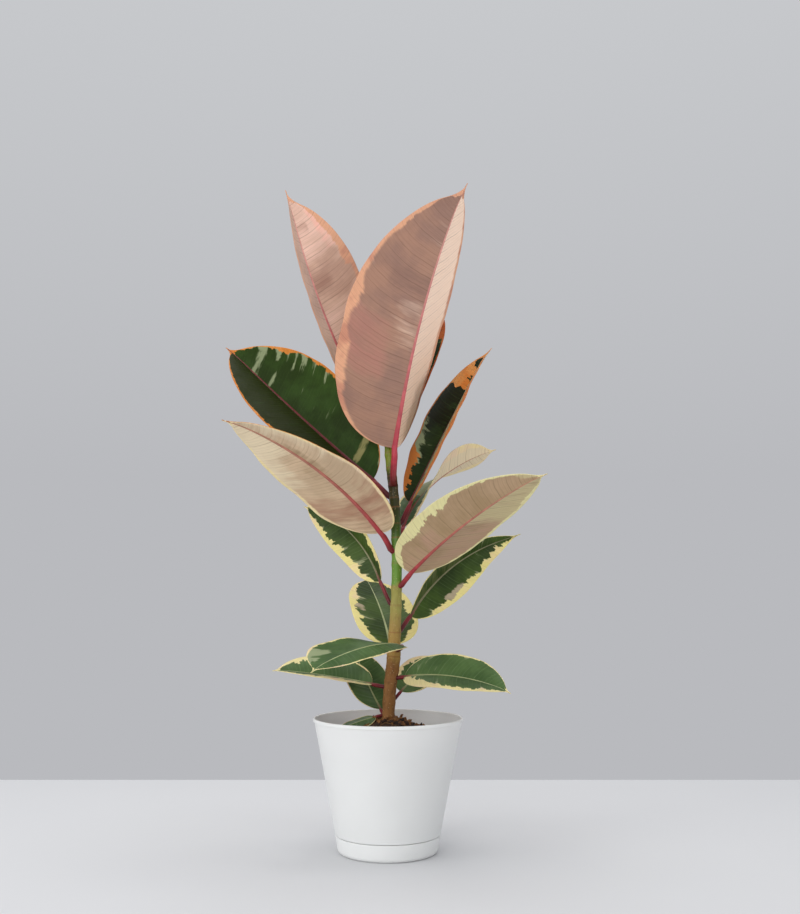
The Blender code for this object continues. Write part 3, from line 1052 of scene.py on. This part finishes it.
# Its near-white pale colour also paints light on leaf_15's left half and a highlight beside its midrib
PINK_UNDER = Lamina(
    "matt leaf underside, rose", "#A8806C", "#967466", "#FFE0C8", "#E0A684", "#C4866F", "#B27C6E", "#8A6A5E", "#6E5040",
    0.36, 0.48, 0.18, 0.2,
)
YOUNG_TOP = replace(DEEP_TOP, name="waxy leaf top, young", pale="#4A6633")
# A darker copy of DEEP_TOP for leaf_13: painted shade, as that leaf lies in shade
SHADED_TOP = replace(
    DEEP_TOP, name="waxy leaf top, shaded", core="#263416", shade="#1A220D", margin="#BE7030", rim="#CA8A4C",
    dusk="#191B07",
)
YOUNG_UNDER = replace(
    PINK_UNDER, name="matt leaf underside, young", core="#D0A892", shade="#BE9682", pale="#F0C6B4", blush="#F4B09C",
    dusk="#9C7060",
)
CRIMSON = Sinew("crimson midrib", "#B53646", "#8A2028", "#D49A8E", "#5E2420")
MAROON = Sinew("maroon midrib", "#A3363E", "#7E1E24", "#B98A70", "#6E2426")
GARNET = Sinew("garnet midrib", "#84242C", "#5C1418", "#6E2222", "#4E1418")
OLIVE_RIB = Sinew("pale midrib, red stalk", "#7A262C", "#98A06E", "#AEB584", "#4E181C")
DULL_RIB = Sinew("dull midrib, red stalk", "#7A262C", "#7E7A58", "#8E8A66", "#4E181C")

LEFT, RIGHT, BOTH = Half.LEFT, Half.RIGHT, Half.BOTH
# pale and dusk sectors also paint light and shade on some leaves
margin, pale, blush, dusk = (partial(Sector, tone) for tone in Tone)

SCAR_DROP = 3  # how far a leaf's scar lies under its stalk
BARE_SCARS = [177, 283, 340, 372, 396]  # the heights of the scars whose leaves have dropped

LEAVES = (
    Leaf(
        1, Growth(132, 195, 7, -10, 42, 28, -12, -24, 0, -10, 0, -5, 0.5),
        Habit(GREEN_TOP, TAN_UNDER, OLIVE_RIB, 0.05, stalk=1.4),
    ),
    Leaf(
        2, Growth(131, 125, 8, 45, 84, 52, 42, 50, -8, 0, 0, 5, 0.5),
        Habit(GREEN_TOP, TAN_UNDER, OLIVE_RIB, 0.04, stalk=1.7),
    ),
    Leaf(
        3, Growth(148, 40, 10, 40, 74, 46, 38, 10, 10, 20, 0, 5, 0.5),
        Habit(GREEN_TOP, TAN_UNDER, OLIVE_RIB, 0.08, stalk=1.6), [margin(LEFT, 0, 1, 0.25)],
    ),
    Leaf(
        4, Growth(160, 178, 12, 10, 102, 58, 12, 4, 0, -20, 0, 20, 0.5),
        Habit(GREEN_TOP, TAN_UNDER, OLIVE_RIB, 0.1, stalk=1.9), [
            margin(RIGHT, 0.5, 1, 0.35), margin(LEFT, 0, 0.55, 0.4), margin(LEFT, 0.55, 1, 0.16),
        ],
    ),
    Leaf(
        5, Growth(169, -22, 8, 8, 112, 58, 9, -21, 0, 31, 0, 12, 0.45),
        Habit(GREEN_TOP, TAN_UNDER, OLIVE_RIB, 0.05, stalk=1.9), [
            margin(RIGHT, 0, 0.12, 0.9), margin(RIGHT, 0.12, 0.3, 0.42), margin(RIGHT, 0.3, 0.92, 0.24),
        ],
    ),
    Leaf(
        6,
        Growth(
            197, -110, 23, 15, 115, 60, 12, -34, -72, -6, -38, -8, 0.64, left=0.52, right=1.05, crown=2.6, swing=54,
            skew=0.62,
        ),
        Habit(GREEN_TOP, TAN_UNDER, OLIVE_RIB, 0.06), [pale(RIGHT, 0.62, 0.84, 0.55, 0.26, 0.05)],
    ),
    Leaf(
        7, Growth(192, 101, 14, 30, 112, 74, 42, 36, 16, 0, 0, 4, 0.5, left=0.9, crown=2.8),
        Habit(OLIVE_TOP, TAN_UNDER, OLIVE_RIB, 0.24), [blush(LEFT, 0.38, 0.5, 0.5, 0.5, 0.04)],
    ),
    Leaf(
        8, Growth(216, 45, 20, 44, 172, 72, 49, 12, -24, 97, -18, 30, 0.42, left=0.55, right=0.86, foot=2.0, crown=1.2),
        Habit(OLIVE_TOP, TAN_UNDER, DULL_RIB, 0.06, curl=-60, stalk=2.2), [
            margin(RIGHT, 0.1, 0.52, 0.22), margin(RIGHT, 0.56, 0.7, 0.3), margin(RIGHT, 0.7, 1, 0.5),
            blush(RIGHT, 0.22, 0.42, 0.42, 0.5, 0.05), dusk(LEFT, 0, 0.6, 1, 0.42, 0.1),
        ],
    ),
    Leaf(
        9, Growth(243, 145, 26, 60, 132, 51, 66, 12, 8, -100, 0, 28, 0.5),
        Habit(OLIVE_TOP, TAN_UNDER, DULL_RIB, 0.1, stalk=1.9), [
            margin(LEFT, 0, 0.2, 0.4), margin(LEFT, 0.2, 1, 0.26), margin(RIGHT, 0.1, 0.4, 0.25),
        ],
    ),
    Leaf(
        10, Growth(262, -40, 17, 45, 178, 92, 39, 25, 16, -24, 0, 14, 0.47, right=0.9, skew=-0.2),
        Habit(GREEN_TOP, OLIVE_UNDER, MAROON, 0.05, stalk=2.5, rib=0.45), [
            margin(RIGHT, 0, 0.46, 0.28), margin(RIGHT, 0.5, 0.9, 0.08), pale(RIGHT, 0.84, 0.96, 0.6),
            margin(LEFT, 0.6, 0.92, 0.13), pale(LEFT, 0.42, 1, 1, 0.34, 0.15), blush(LEFT, 0, 0.5, 1, 0.4, 0.12),
            blush(RIGHT, 0, 0.35, -0.6, 0.4, 0.1),
        ],
    ),
    Leaf(
        11,
        Growth(298, -150, 20, 60, 200, 94, 48, 18, -15, 28, 0, -8, 0.44, left=0.88, right=0.94, crown=1.4, skew=0.26),
        Habit(DEEP_TOP, SAND_UNDER, MAROON, 0.05, wave=2.4, pitch=60, stalk=2.8, rib=0.6, quilt=0.3), [
            blush(BOTH, 0, 0.34, 1, 0.5, 0.15), pale(RIGHT, 0.35, 0.6, 0.5, 0.3, 0.1),
            pale(RIGHT, 0.6, 0.92, 1, 0.34, 0.1), pale(LEFT, 0.45, 0.75, 0.45, 0.2, 0.1),
            # These two dusk sectors darken both halves beside the midrib: painted shade of the blade's curve
            dusk(RIGHT, 0.3, 0.55, -0.4, 0.46, 0.1), dusk(LEFT, 0.3, 0.75, -0.4, 0.46, 0.1),
            # Lightens the tip: paler, greener tissue with painted light over it
            pale(BOTH, 0.7, 1, 1, 0.25, 0.12),
        ],
    ),
    Leaf(
        12, Growth(312, 60, 12, 50, 154, 50, 52, 20, -55, 20, -85, 20, 0.66, right=0.88, foot=2.0, crown=2.6),
        Habit(GREEN_TOP, SAND_UNDER, MAROON, 0.2), [margin(RIGHT, 0.55, 1, 0.36), pale(BOTH, 0.3, 1, 1, 0.5)],
    ),
    Leaf(
        13, Growth(326, 30, 24, 62, 198, 84, 62, 60, -10, 0, 0, 17, 0.6, left=1.04, foot=1.7),
        Habit(SHADED_TOP, SAND_UNDER, GARNET, 0.05, stalk=2.4, rib=0.45), [
            margin(LEFT, 0.05, 0.27, 0.45), pale(LEFT, 0.24, 0.5, 0.35, 0.2, 0.06), margin(LEFT, 0.7, 0.87, 1.1),
            margin(LEFT, 0.87, 0.92, 0.35), margin(LEFT, 0.92, 1, 1.1), margin(RIGHT, 0, 1, 0.38),
            pale(RIGHT, 0, 1, 1, 0.3), dusk(LEFT, 0.4, 0.75, 1, 0.42, 0.06),
        ],
    ),
    Leaf(
        14, Growth(353, 150, 26, 43, 244, 124, 38, 44, 12, -50, 0, 27, 0.55, left=0.82, right=0.97, foot=2.0),
        Habit(DEEP_TOP, SAND_UNDER, GARNET, 0.04, stalk=2.7, rib=0.45), [
            margin(RIGHT, 0.86, 0.92, 0.24), margin(RIGHT, 0.64, 0.76, 0.12), pale(RIGHT, 0.78, 0.83, 1, 0.3, 0.035),
            pale(RIGHT, 0.71, 0.73, 0.4, 0.38, 0.03), pale(RIGHT, 0.68, 0.7, -0.45, 0.28, 0.03),
            pale(RIGHT, 0.56, 0.62, 0.4, 0.26, 0.04), blush(RIGHT, 0.09, 0.17, 0.95, 0.46, 0.04),
            # Darkens the whole left half: painted shade
            dusk(LEFT, 0, 1, 1, 0.6, 0.1),
        ],
    ),
    Leaf(
        15, Growth(367, -50, 34, 80, 275, 158, 77, 62, 12, 0, -20, 37, 0.48, right=0.98, swing=-35, skew=-0.05),
        Habit(YOUNG_TOP, PINK_UNDER, CRIMSON, 0.05, stalk=3.2), [
            margin(RIGHT, 0.14, 0.3, 0.12), margin(RIGHT, 0.38, 0.48, 0.13), margin(RIGHT, 0.7, 0.8, 0.1),
            margin(RIGHT, 0.8, 0.86, 0.15), margin(RIGHT, 0.86, 1, 0.03), blush(RIGHT, 0.2, 0.44, 0.7, 0.5, 0.05),
            # The first pale sector here, beside the midrib, is a painted highlight
            pale(RIGHT, 0.35, 0.55, -0.4, 0.17, 0.05), dusk(RIGHT, 0.53, 0.66, -0.7, 0.5, 0.05),
            # The last pale sector lightens the whole left half: painted light, as that half faces away from the key
            # lamp
            pale(RIGHT, 0.72, 0.86, -0.6, 0.12, 0.05), dusk(RIGHT, 0.84, 0.98, 1, 0.4, 0.05), pale(LEFT, 0, 1, 1, 1.0),
        ],
    ),
    Leaf(
        16, Growth(384, 60, 60, 42, 156, 60, 70, 57, -40, 25, 0, 8, 0.7, left=0.7, right=0.8, foot=2.0, swing=32),
        Habit(RUST_TOP, PINK_UNDER, CRIMSON, 0.06, stalk=2.2), [margin(RIGHT, 0.7, 0.96, 0.5)],
    ),
    Leaf(
        17, Growth(412, -162, 20, 60, 256, 100, 60, 77, 0, 36, 0, 43, 0.55, crown=2.5),
        Habit(DEEP_TOP, YOUNG_UNDER, CRIMSON, 0.06, stalk=2.7), [
            margin(LEFT, 0.58, 0.96, 0.2), dusk(LEFT, 0.53, 0.65, 1, 0.45, 0.05),
            dusk(LEFT, 0.8, 0.87, -0.5, 0.45, 0.04), pale(LEFT, 0.66, 1, 1, 0.3, 0.06),
            pale(LEFT, 0.3, 0.5, 1, 0.25, 0.04), blush(LEFT, 0.5, 0.92, 0.5, 0.42, 0.06),
        ],
    ),
)


# ---------------------------------------------------------------------------- bud, pot and mix


@dataclass(frozen=True)
class Bud:
    """The rolled stipule at the growing tip."""

    length: float = 58
    radius: float = 3.4
    lean: float = 6
    lap: float = 0.09  # how far the rolled edge stands out, as a share of the radius
    turns: float = 0.9  # how far round it winds
    widths: tuple[Pair, ...] = ((0, 0.8), (0.15, 1), (0.4, 0.95), (0.7, 0.6), (0.9, 0.25), (1, 0.08))
    rings: int = 48
    sides: int = 24

    def build(self, stem: Stem) -> None:
        """Builds the bud with the overlap of its rolled edge winding up it.

        Args:
            stem: the stem that it tops.
        """
        foot, _ = stem.at(stem.stations[-1][0])
        lean = math.radians(self.lean)
        along = Vector((-math.sin(lean), 0, math.cos(lean)))
        runs = [ring / self.rings for ring in range(self.rings + 1)]

        def section(ring: int, angle: float) -> Pair:
            """Rounds the bud, with a step where its edge laps over.

            Args:
                ring: the ring's number.
                angle: how far round it.

            Returns:
                The offsets along side and up.
            """
            lap = (angle / math.tau + self.turns * runs[ring]) % 1
            size = level_at(self.widths, runs[ring], smooth) * self.radius * MM
            size *= 0.95 + self.lap * lap**3
            return math.cos(angle) * size, math.sin(angle) * size

        frames = [upright(foot + along * (self.length * run * MM), along) for run in runs]
        shape = tube(frames, self.sides, section, lambda ring, _: (runs[ring], 0))
        enter(mesh_object("bud_sheath", shape, Sheath()), "bud_sheath", "terminal_bud")


@dataclass(frozen=True)
class Pot:
    """The tapered pot and the saucer clipped round its foot."""

    rim_radius: float = 75
    rim_height: float = 130
    seam_radius: float = 52.2
    seam_height: float = 17.6
    wall: float = 2.2
    band: float = 0.5
    band_height: float = 3.5
    skirt_radius: float = 47.5
    floor: float = 5
    bend: float = 3  # the radius of its rounded corners
    foot_inner: float = 34.5
    foot_outer: float = 37.5
    foot_gap: float = 0.3  # from the foot ring to the saucer
    drain_radius: float = 4
    drain_circle: float = 25
    drains: int = 6
    base_radius: float = 50.2
    corner: float = 5
    dish_floor: float = 2.2
    edge: float = 0.6  # the radius of the saucer's and the seam's rounded edges
    steps: int = 160

    def wall_radius(self, height: float) -> float:
        """The outer radius of the flared wall at a height."""
        share = (height - self.seam_height) / (self.rim_height - self.seam_height)
        return self.seam_radius + (self.rim_radius - self.band - self.seam_radius) * share

    def build(self) -> None:
        """Builds the pot from its floor out over the rim and down to its foot ring, then the saucer."""
        plastic, bend, edge, outer = Plastic(), self.bend, self.edge, self.wall_radius
        top, seam, skirt, floor = self.rim_height, self.seam_height, self.skirt_radius, self.floor
        inside, inner_floor, lip, band = skirt - self.wall, floor + self.wall, self.wall / 2, top - self.band_height
        foot_in, foot_out, foot = self.foot_inner, self.foot_outer, self.dish_floor + self.foot_gap
        profile = [
            (0, inner_floor), (inside - bend, inner_floor),
            *arc((inside - bend, inner_floor + bend), bend, -90, 0, 6),
            (inside, seam + 1), (outer(seam + 6) - self.wall, seam + 6), (self.rim_radius - self.wall, top - lip - 2),
            *arc((self.rim_radius - lip, top - lip), lip, 180, 0, 10),
            (self.rim_radius, band + 0.6), (self.rim_radius - 0.12, band + 0.2), (outer(band) + 0.05, band),
            (outer(band - 0.4), band - 0.4), (outer(seam + 1.2), seam + 1.2),
            *arc((self.seam_radius - edge, seam + edge), edge, 0, -90, 5),
            (skirt, seam), (skirt, floor + bend), *arc((skirt - bend, floor + bend), bend, 0, -90, 6),
            (foot_out, floor), (foot_out, foot), (foot_in, foot), (foot_in, floor), (0, floor),
        ]
        pot = mesh_object("pot_shell", spun(profile, self.steps), plastic)
        self.drill(pot)
        enter(pot, "pot_plastic", "pot")

        rim, inner, brim = seam - 0.5, self.base_radius - self.wall, self.seam_radius - 0.2
        dish = [
            (0, self.dish_floor), (inner - bend, self.dish_floor),
            *arc((inner - bend, self.dish_floor + bend), bend, -90, 0, 6),
            (brim - self.wall - 0.2, rim), (brim - edge, rim), *arc((brim - edge, rim - edge), edge, 90, 0, 5),
            *arc((self.base_radius - self.corner, self.corner), self.corner, 0, -90, 12), (0, 0),
        ]
        enter(mesh_object("saucer_dish", spun(dish, self.steps), plastic), "pot_plastic", "saucer")

    def drill(self, pot: bpy.types.Object) -> None:
        """Cuts the drain holes through the pot's floor and keeps the result as its mesh.

        Args:
            pot: the pot's object.
        """
        drills = bmesh.new()
        for hole in range(self.drains):
            centre = heading(360 * hole / self.drains, 0) * self.drain_circle * MM
            centre.z = (self.floor + self.wall / 2) * MM
            bmesh.ops.create_cone(
                drills, cap_ends=True, segments=24, radius1=self.drain_radius * MM, radius2=self.drain_radius * MM,
                depth=4 * self.wall * MM, matrix=Matrix.Translation(centre),
            )
        cutter = mesh_object("drills", drills)
        cut = pot.modifiers.new("drains", "BOOLEAN")
        cut.operation, cut.solver, cut.object = "DIFFERENCE", "EXACT", cutter
        bpy.context.view_layer.update()
        drilled = bpy.data.meshes.new_from_object(pot.evaluated_get(bpy.context.evaluated_depsgraph_get()))
        pot.modifiers.clear()
        pot.data = drilled
        bpy.data.objects.remove(cutter)


@dataclass(frozen=True)
class PottingMix:
    """Peat and coir heaped round the stem's foot."""

    mound: tuple[Pair, ...] = ((0, 1.5), (14, 2.5), (24, 5.5), (34, 10), (46, 16.5), (60, 19), (66, 19))
    clearance: float = 0.4  # from the pot's wall
    lumps: tuple[Pair, ...] = ((7, 1.3), (2.6, 0.8), (1.2, 0.3))  # their size and height
    rings: int = 44
    steps: int = 140
    chips: int = 420
    chip_zone: Pair = (7, 60)  # the ring that they lie in: its inner radius and its width
    chip_sizes: Pair = (1.2, 3.4)
    big_sizes: Pair = (3.5, 5.5)  # every fifth chip's
    fibres: int = 90
    fibre_zone: Pair = (8, 52)
    fibre_radius: float = 0.16
    fibre_steps: int = 7
    fibre_step: float = 1.6
    seed: int = 7

    def surface(self, pot: Pot, radius: float) -> float:
        """The mix's height at a radius, by how deep it lies under the rim."""
        return pot.rim_height - level_at(self.mound, radius, lambda place, low, high: (place - low) / (high - low))

    def build(self, pot: Pot) -> None:
        """Builds the bed, then scatters chips and fibres on it.

        Args:
            pot: the pot that it fills.
        """
        gap = pot.wall + self.clearance
        level = pot.rim_height - self.mound[-1][1]
        edge, count = pot.wall_radius(level) - gap, self.rings
        inside, low = pot.skirt_radius - gap, pot.floor + pot.wall + 0.3
        profile = [(edge * i / count, self.surface(pot, edge * i / count)) for i in range(count + 1)]
        profile += [(pot.wall_radius(pot.seam_height + 6) - gap, pot.seam_height + 6), (inside, pot.seam_height + 1)]
        profile += [(inside, low + 3), (inside - 3, low), (0, low)]
        bed = spun(profile, self.steps)
        for vertex in bed.verts:
            if vertex.co.z > (level - 4) * MM and vertex.co.xy.length / MM < edge - 0.5:
                lump = sum(noise.noise(vertex.co / (size * MM)) * height for size, height in self.lumps)
                vertex.co.z += (lump - 0.4) * MM
        peat = Crumb("damp peat", "#4A3423", "#1E130C", 1.6)
        enter(mesh_object("peat_bed", bed, peat), "potting_mix", "potting_mix")
        chance = random.Random(self.seed)
        self.scatter_chips(pot, chance)
        self.scatter_fibres(pot, chance)

    def scatter_chips(self, pot: Pot, chance: random.Random) -> None:
        """Lays coir and bark chips on the bed.

        Args:
            pot: the pot that it fills.
            chance: where the random numbers come from.
        """
        light, dark, (hub, width) = bmesh.new(), bmesh.new(), self.chip_zone
        for index in range(self.chips):
            turn, radius = chance.uniform(0, math.tau), hub + width * chance.random() ** 0.8
            size = chance.uniform(*(self.chip_sizes if index % 5 else self.big_sizes))
            height = self.surface(pot, radius) + size * 0.12
            place = Vector((radius * math.cos(turn), radius * math.sin(turn), height)) * MM
            spin = Quaternion([chance.uniform(-1, 1) for _ in range(3)], chance.uniform(0, 2))
            shape = Matrix.Diagonal((size, size * chance.uniform(0.4, 0.8), size * chance.uniform(0.2, 0.45), 1))
            made = bmesh.ops.create_icosphere(
                light if index % 3 else dark, subdivisions=1, radius=MM,
                matrix=Matrix.Translation(place) @ spin.to_matrix().to_4x4() @ shape,
            )
            for vertex in made["verts"]:
                vertex.co += Vector(chance.uniform(-0.22, 0.22) for _ in range(3)) * size * MM
        coir = Crumb("coir chips", "#9A6B3C", "#5C3A1E", 1.1)
        bark = Crumb("composted bark", "#3E2A1C", "#170E08", 1.1)
        for name, shape, finish in (("coir_chips", light, coir), ("bark_chips", dark, bark)):
            piece = mesh_object(name, shape, finish)
            piece.data.shade_flat()
            enter(piece, "potting_mix")

    def scatter_fibres(self, pot: Pot, chance: random.Random) -> None:
        """Lays curved coir fibres on the bed.

        Args:
            pot: the pot that it fills.
            chance: where the random numbers come from.
        """
        strands, strand, up = bmesh.new(), bpy.data.meshes.new("strand"), Vector((0, 0, 1))
        (hub, width), thick = self.fibre_zone, self.fibre_radius * MM
        for _ in range(self.fibres):
            turn, radius = chance.uniform(0, math.tau), hub + width * chance.random()
            way, bend = chance.uniform(0, math.tau), chance.uniform(-0.5, 0.5)
            frames, spot = [], Vector((radius * math.cos(turn), radius * math.sin(turn), 0))
            for step in range(self.fibre_steps):
                way += bend
                along = Vector((math.cos(way), math.sin(way), 0))
                spot = spot + along * self.fibre_step
                spot.z = self.surface(pot, spot.xy.length) + 0.5 + 0.5 * math.sin(step + turn)
                frames.append((spot * MM, along, up.cross(along), up))
            thread = tube(frames, 5, lambda _, angle: (math.cos(angle) * thick, math.sin(angle) * thick))
            thread.to_mesh(strand)
            thread.free()
            strands.from_mesh(strand)
        bpy.data.meshes.remove(strand)
        enter(mesh_object("coir_fibres", strands, Crumb("coir fibre", "#B98A52", "#7A5228", 0.8)), "potting_mix")


# ---------------------------------------------------------------------------- studio


@dataclass(frozen=True)
class Lamp:
    """A softbox that faces the plant. Places and sizes are metres."""

    name: str
    place: tuple[float, float, float]
    size: float
    watts: float
    aim: float = 0.3  # the height on the plant's axis that it faces
    spread: float = 180  # how wide its grid lets the light out, in degrees

    def build(self) -> None:
        """Adds the light, turned to its aim."""
        data = bpy.data.lights.new(self.name, "AREA")
        data.shape, data.size, data.energy = "DISK", self.size, self.watts
        data.spread = math.radians(self.spread)
        made = bpy.data.objects.new(self.name, data)
        bpy.context.scene.collection.objects.link(made)
        made.location = self.place
        made.rotation_euler = (Vector((0, 0, self.aim)) - Vector(self.place)).to_track_quat("-Z", "Y").to_euler()


@dataclass(frozen=True)
class Studio:
    """A pale table top before a grey background, softly lit from the left. Sizes are metres."""

    lamps: tuple[Lamp, ...] = (
        Lamp("key", (-2.0, -1.3, 1.2), 1.6, 5.2, spread=110),
        Lamp("front", (-0.8, -2.3, 0.7), 1.6, 15),
        Lamp("top", (0.0, 0.1, 2.1), 1.2, 14),
        Lamp("fill", (1.75, -0.9, 0.5), 0.5, 0.2, aim=0.58, spread=19),
    )
    back_edge: float = 0.397
    front_edge: float = -3.0
    side_edge: float = 4.0
    thickness: float = 0.04
    camera_place: tuple[float, float, float] = (0.0119, -1.1, 0.26)
    pitch: float = 6.9
    lens: float = 42.22

    def build(self) -> None:
        """Adds the table, the background, the lights and the camera."""
        scene, table = bpy.context.scene, bmesh.new()
        size = (2 * self.side_edge, self.back_edge - self.front_edge, self.thickness, 1)
        middle = (0, (self.back_edge + self.front_edge) / 2, -self.thickness / 2)
        bmesh.ops.create_cube(table, size=1, matrix=Matrix.Translation(middle) @ Matrix.Diagonal(size))
        bmesh.ops.bevel(
            table, geom=table.edges[:], offset=1.5 * MM, affect="EDGES", segments=3, profile=0.5, material=-1
        )
        top = mesh_object("table_top", table, Laminate())
        top.data.shade_flat()
        for lamp in self.lamps:
            lamp.build()
        self.surround(scene)
        data = bpy.data.cameras.new("camera")
        data.lens, data.sensor_width, data.clip_start, data.clip_end = self.lens, 36, 0.05, 50
        camera = bpy.data.objects.new("camera", data)
        scene.collection.objects.link(camera)
        camera.location = self.camera_place
        camera.rotation_euler = (math.radians(90 + self.pitch), 0, 0)
        scene.camera = camera
        scene.view_settings.view_transform = "Standard"

    def surround(self, scene: bpy.types.Scene) -> None:
        """Adds a grey surround, a little lighter overhead.

        Args:
            scene: the scene that it lights.
        """
        scene.world = bpy.data.worlds.new("grey surround")
        scene.world.use_nodes = True
        tree = scene.world.node_tree
        node = partial(add_node, tree)
        _, _, height = node("SeparateXYZ", node("TexCoord", output="Generated"))
        colour = node("Mix", node("MapRange", height, 0.1, 0.62), "#B9BABE", "#CBCDD0")
        plug(colour, tree.nodes["Background"].inputs["Color"])


def main() -> None:
    """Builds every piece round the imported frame."""
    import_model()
    stem, pot = Stem(), Pot()
    pot.build()
    PottingMix().build(pot)
    stem.build([leaf.growth.node - SCAR_DROP for leaf in LEAVES] + BARE_SCARS)
    Bud().build(stem)
    for leaf in LEAVES:
        leaf.build(stem)
    Studio().build()
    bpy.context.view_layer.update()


if __name__ == "__main__":
    logging.basicConfig(level=logging.INFO, format="%(message)s")
    main()
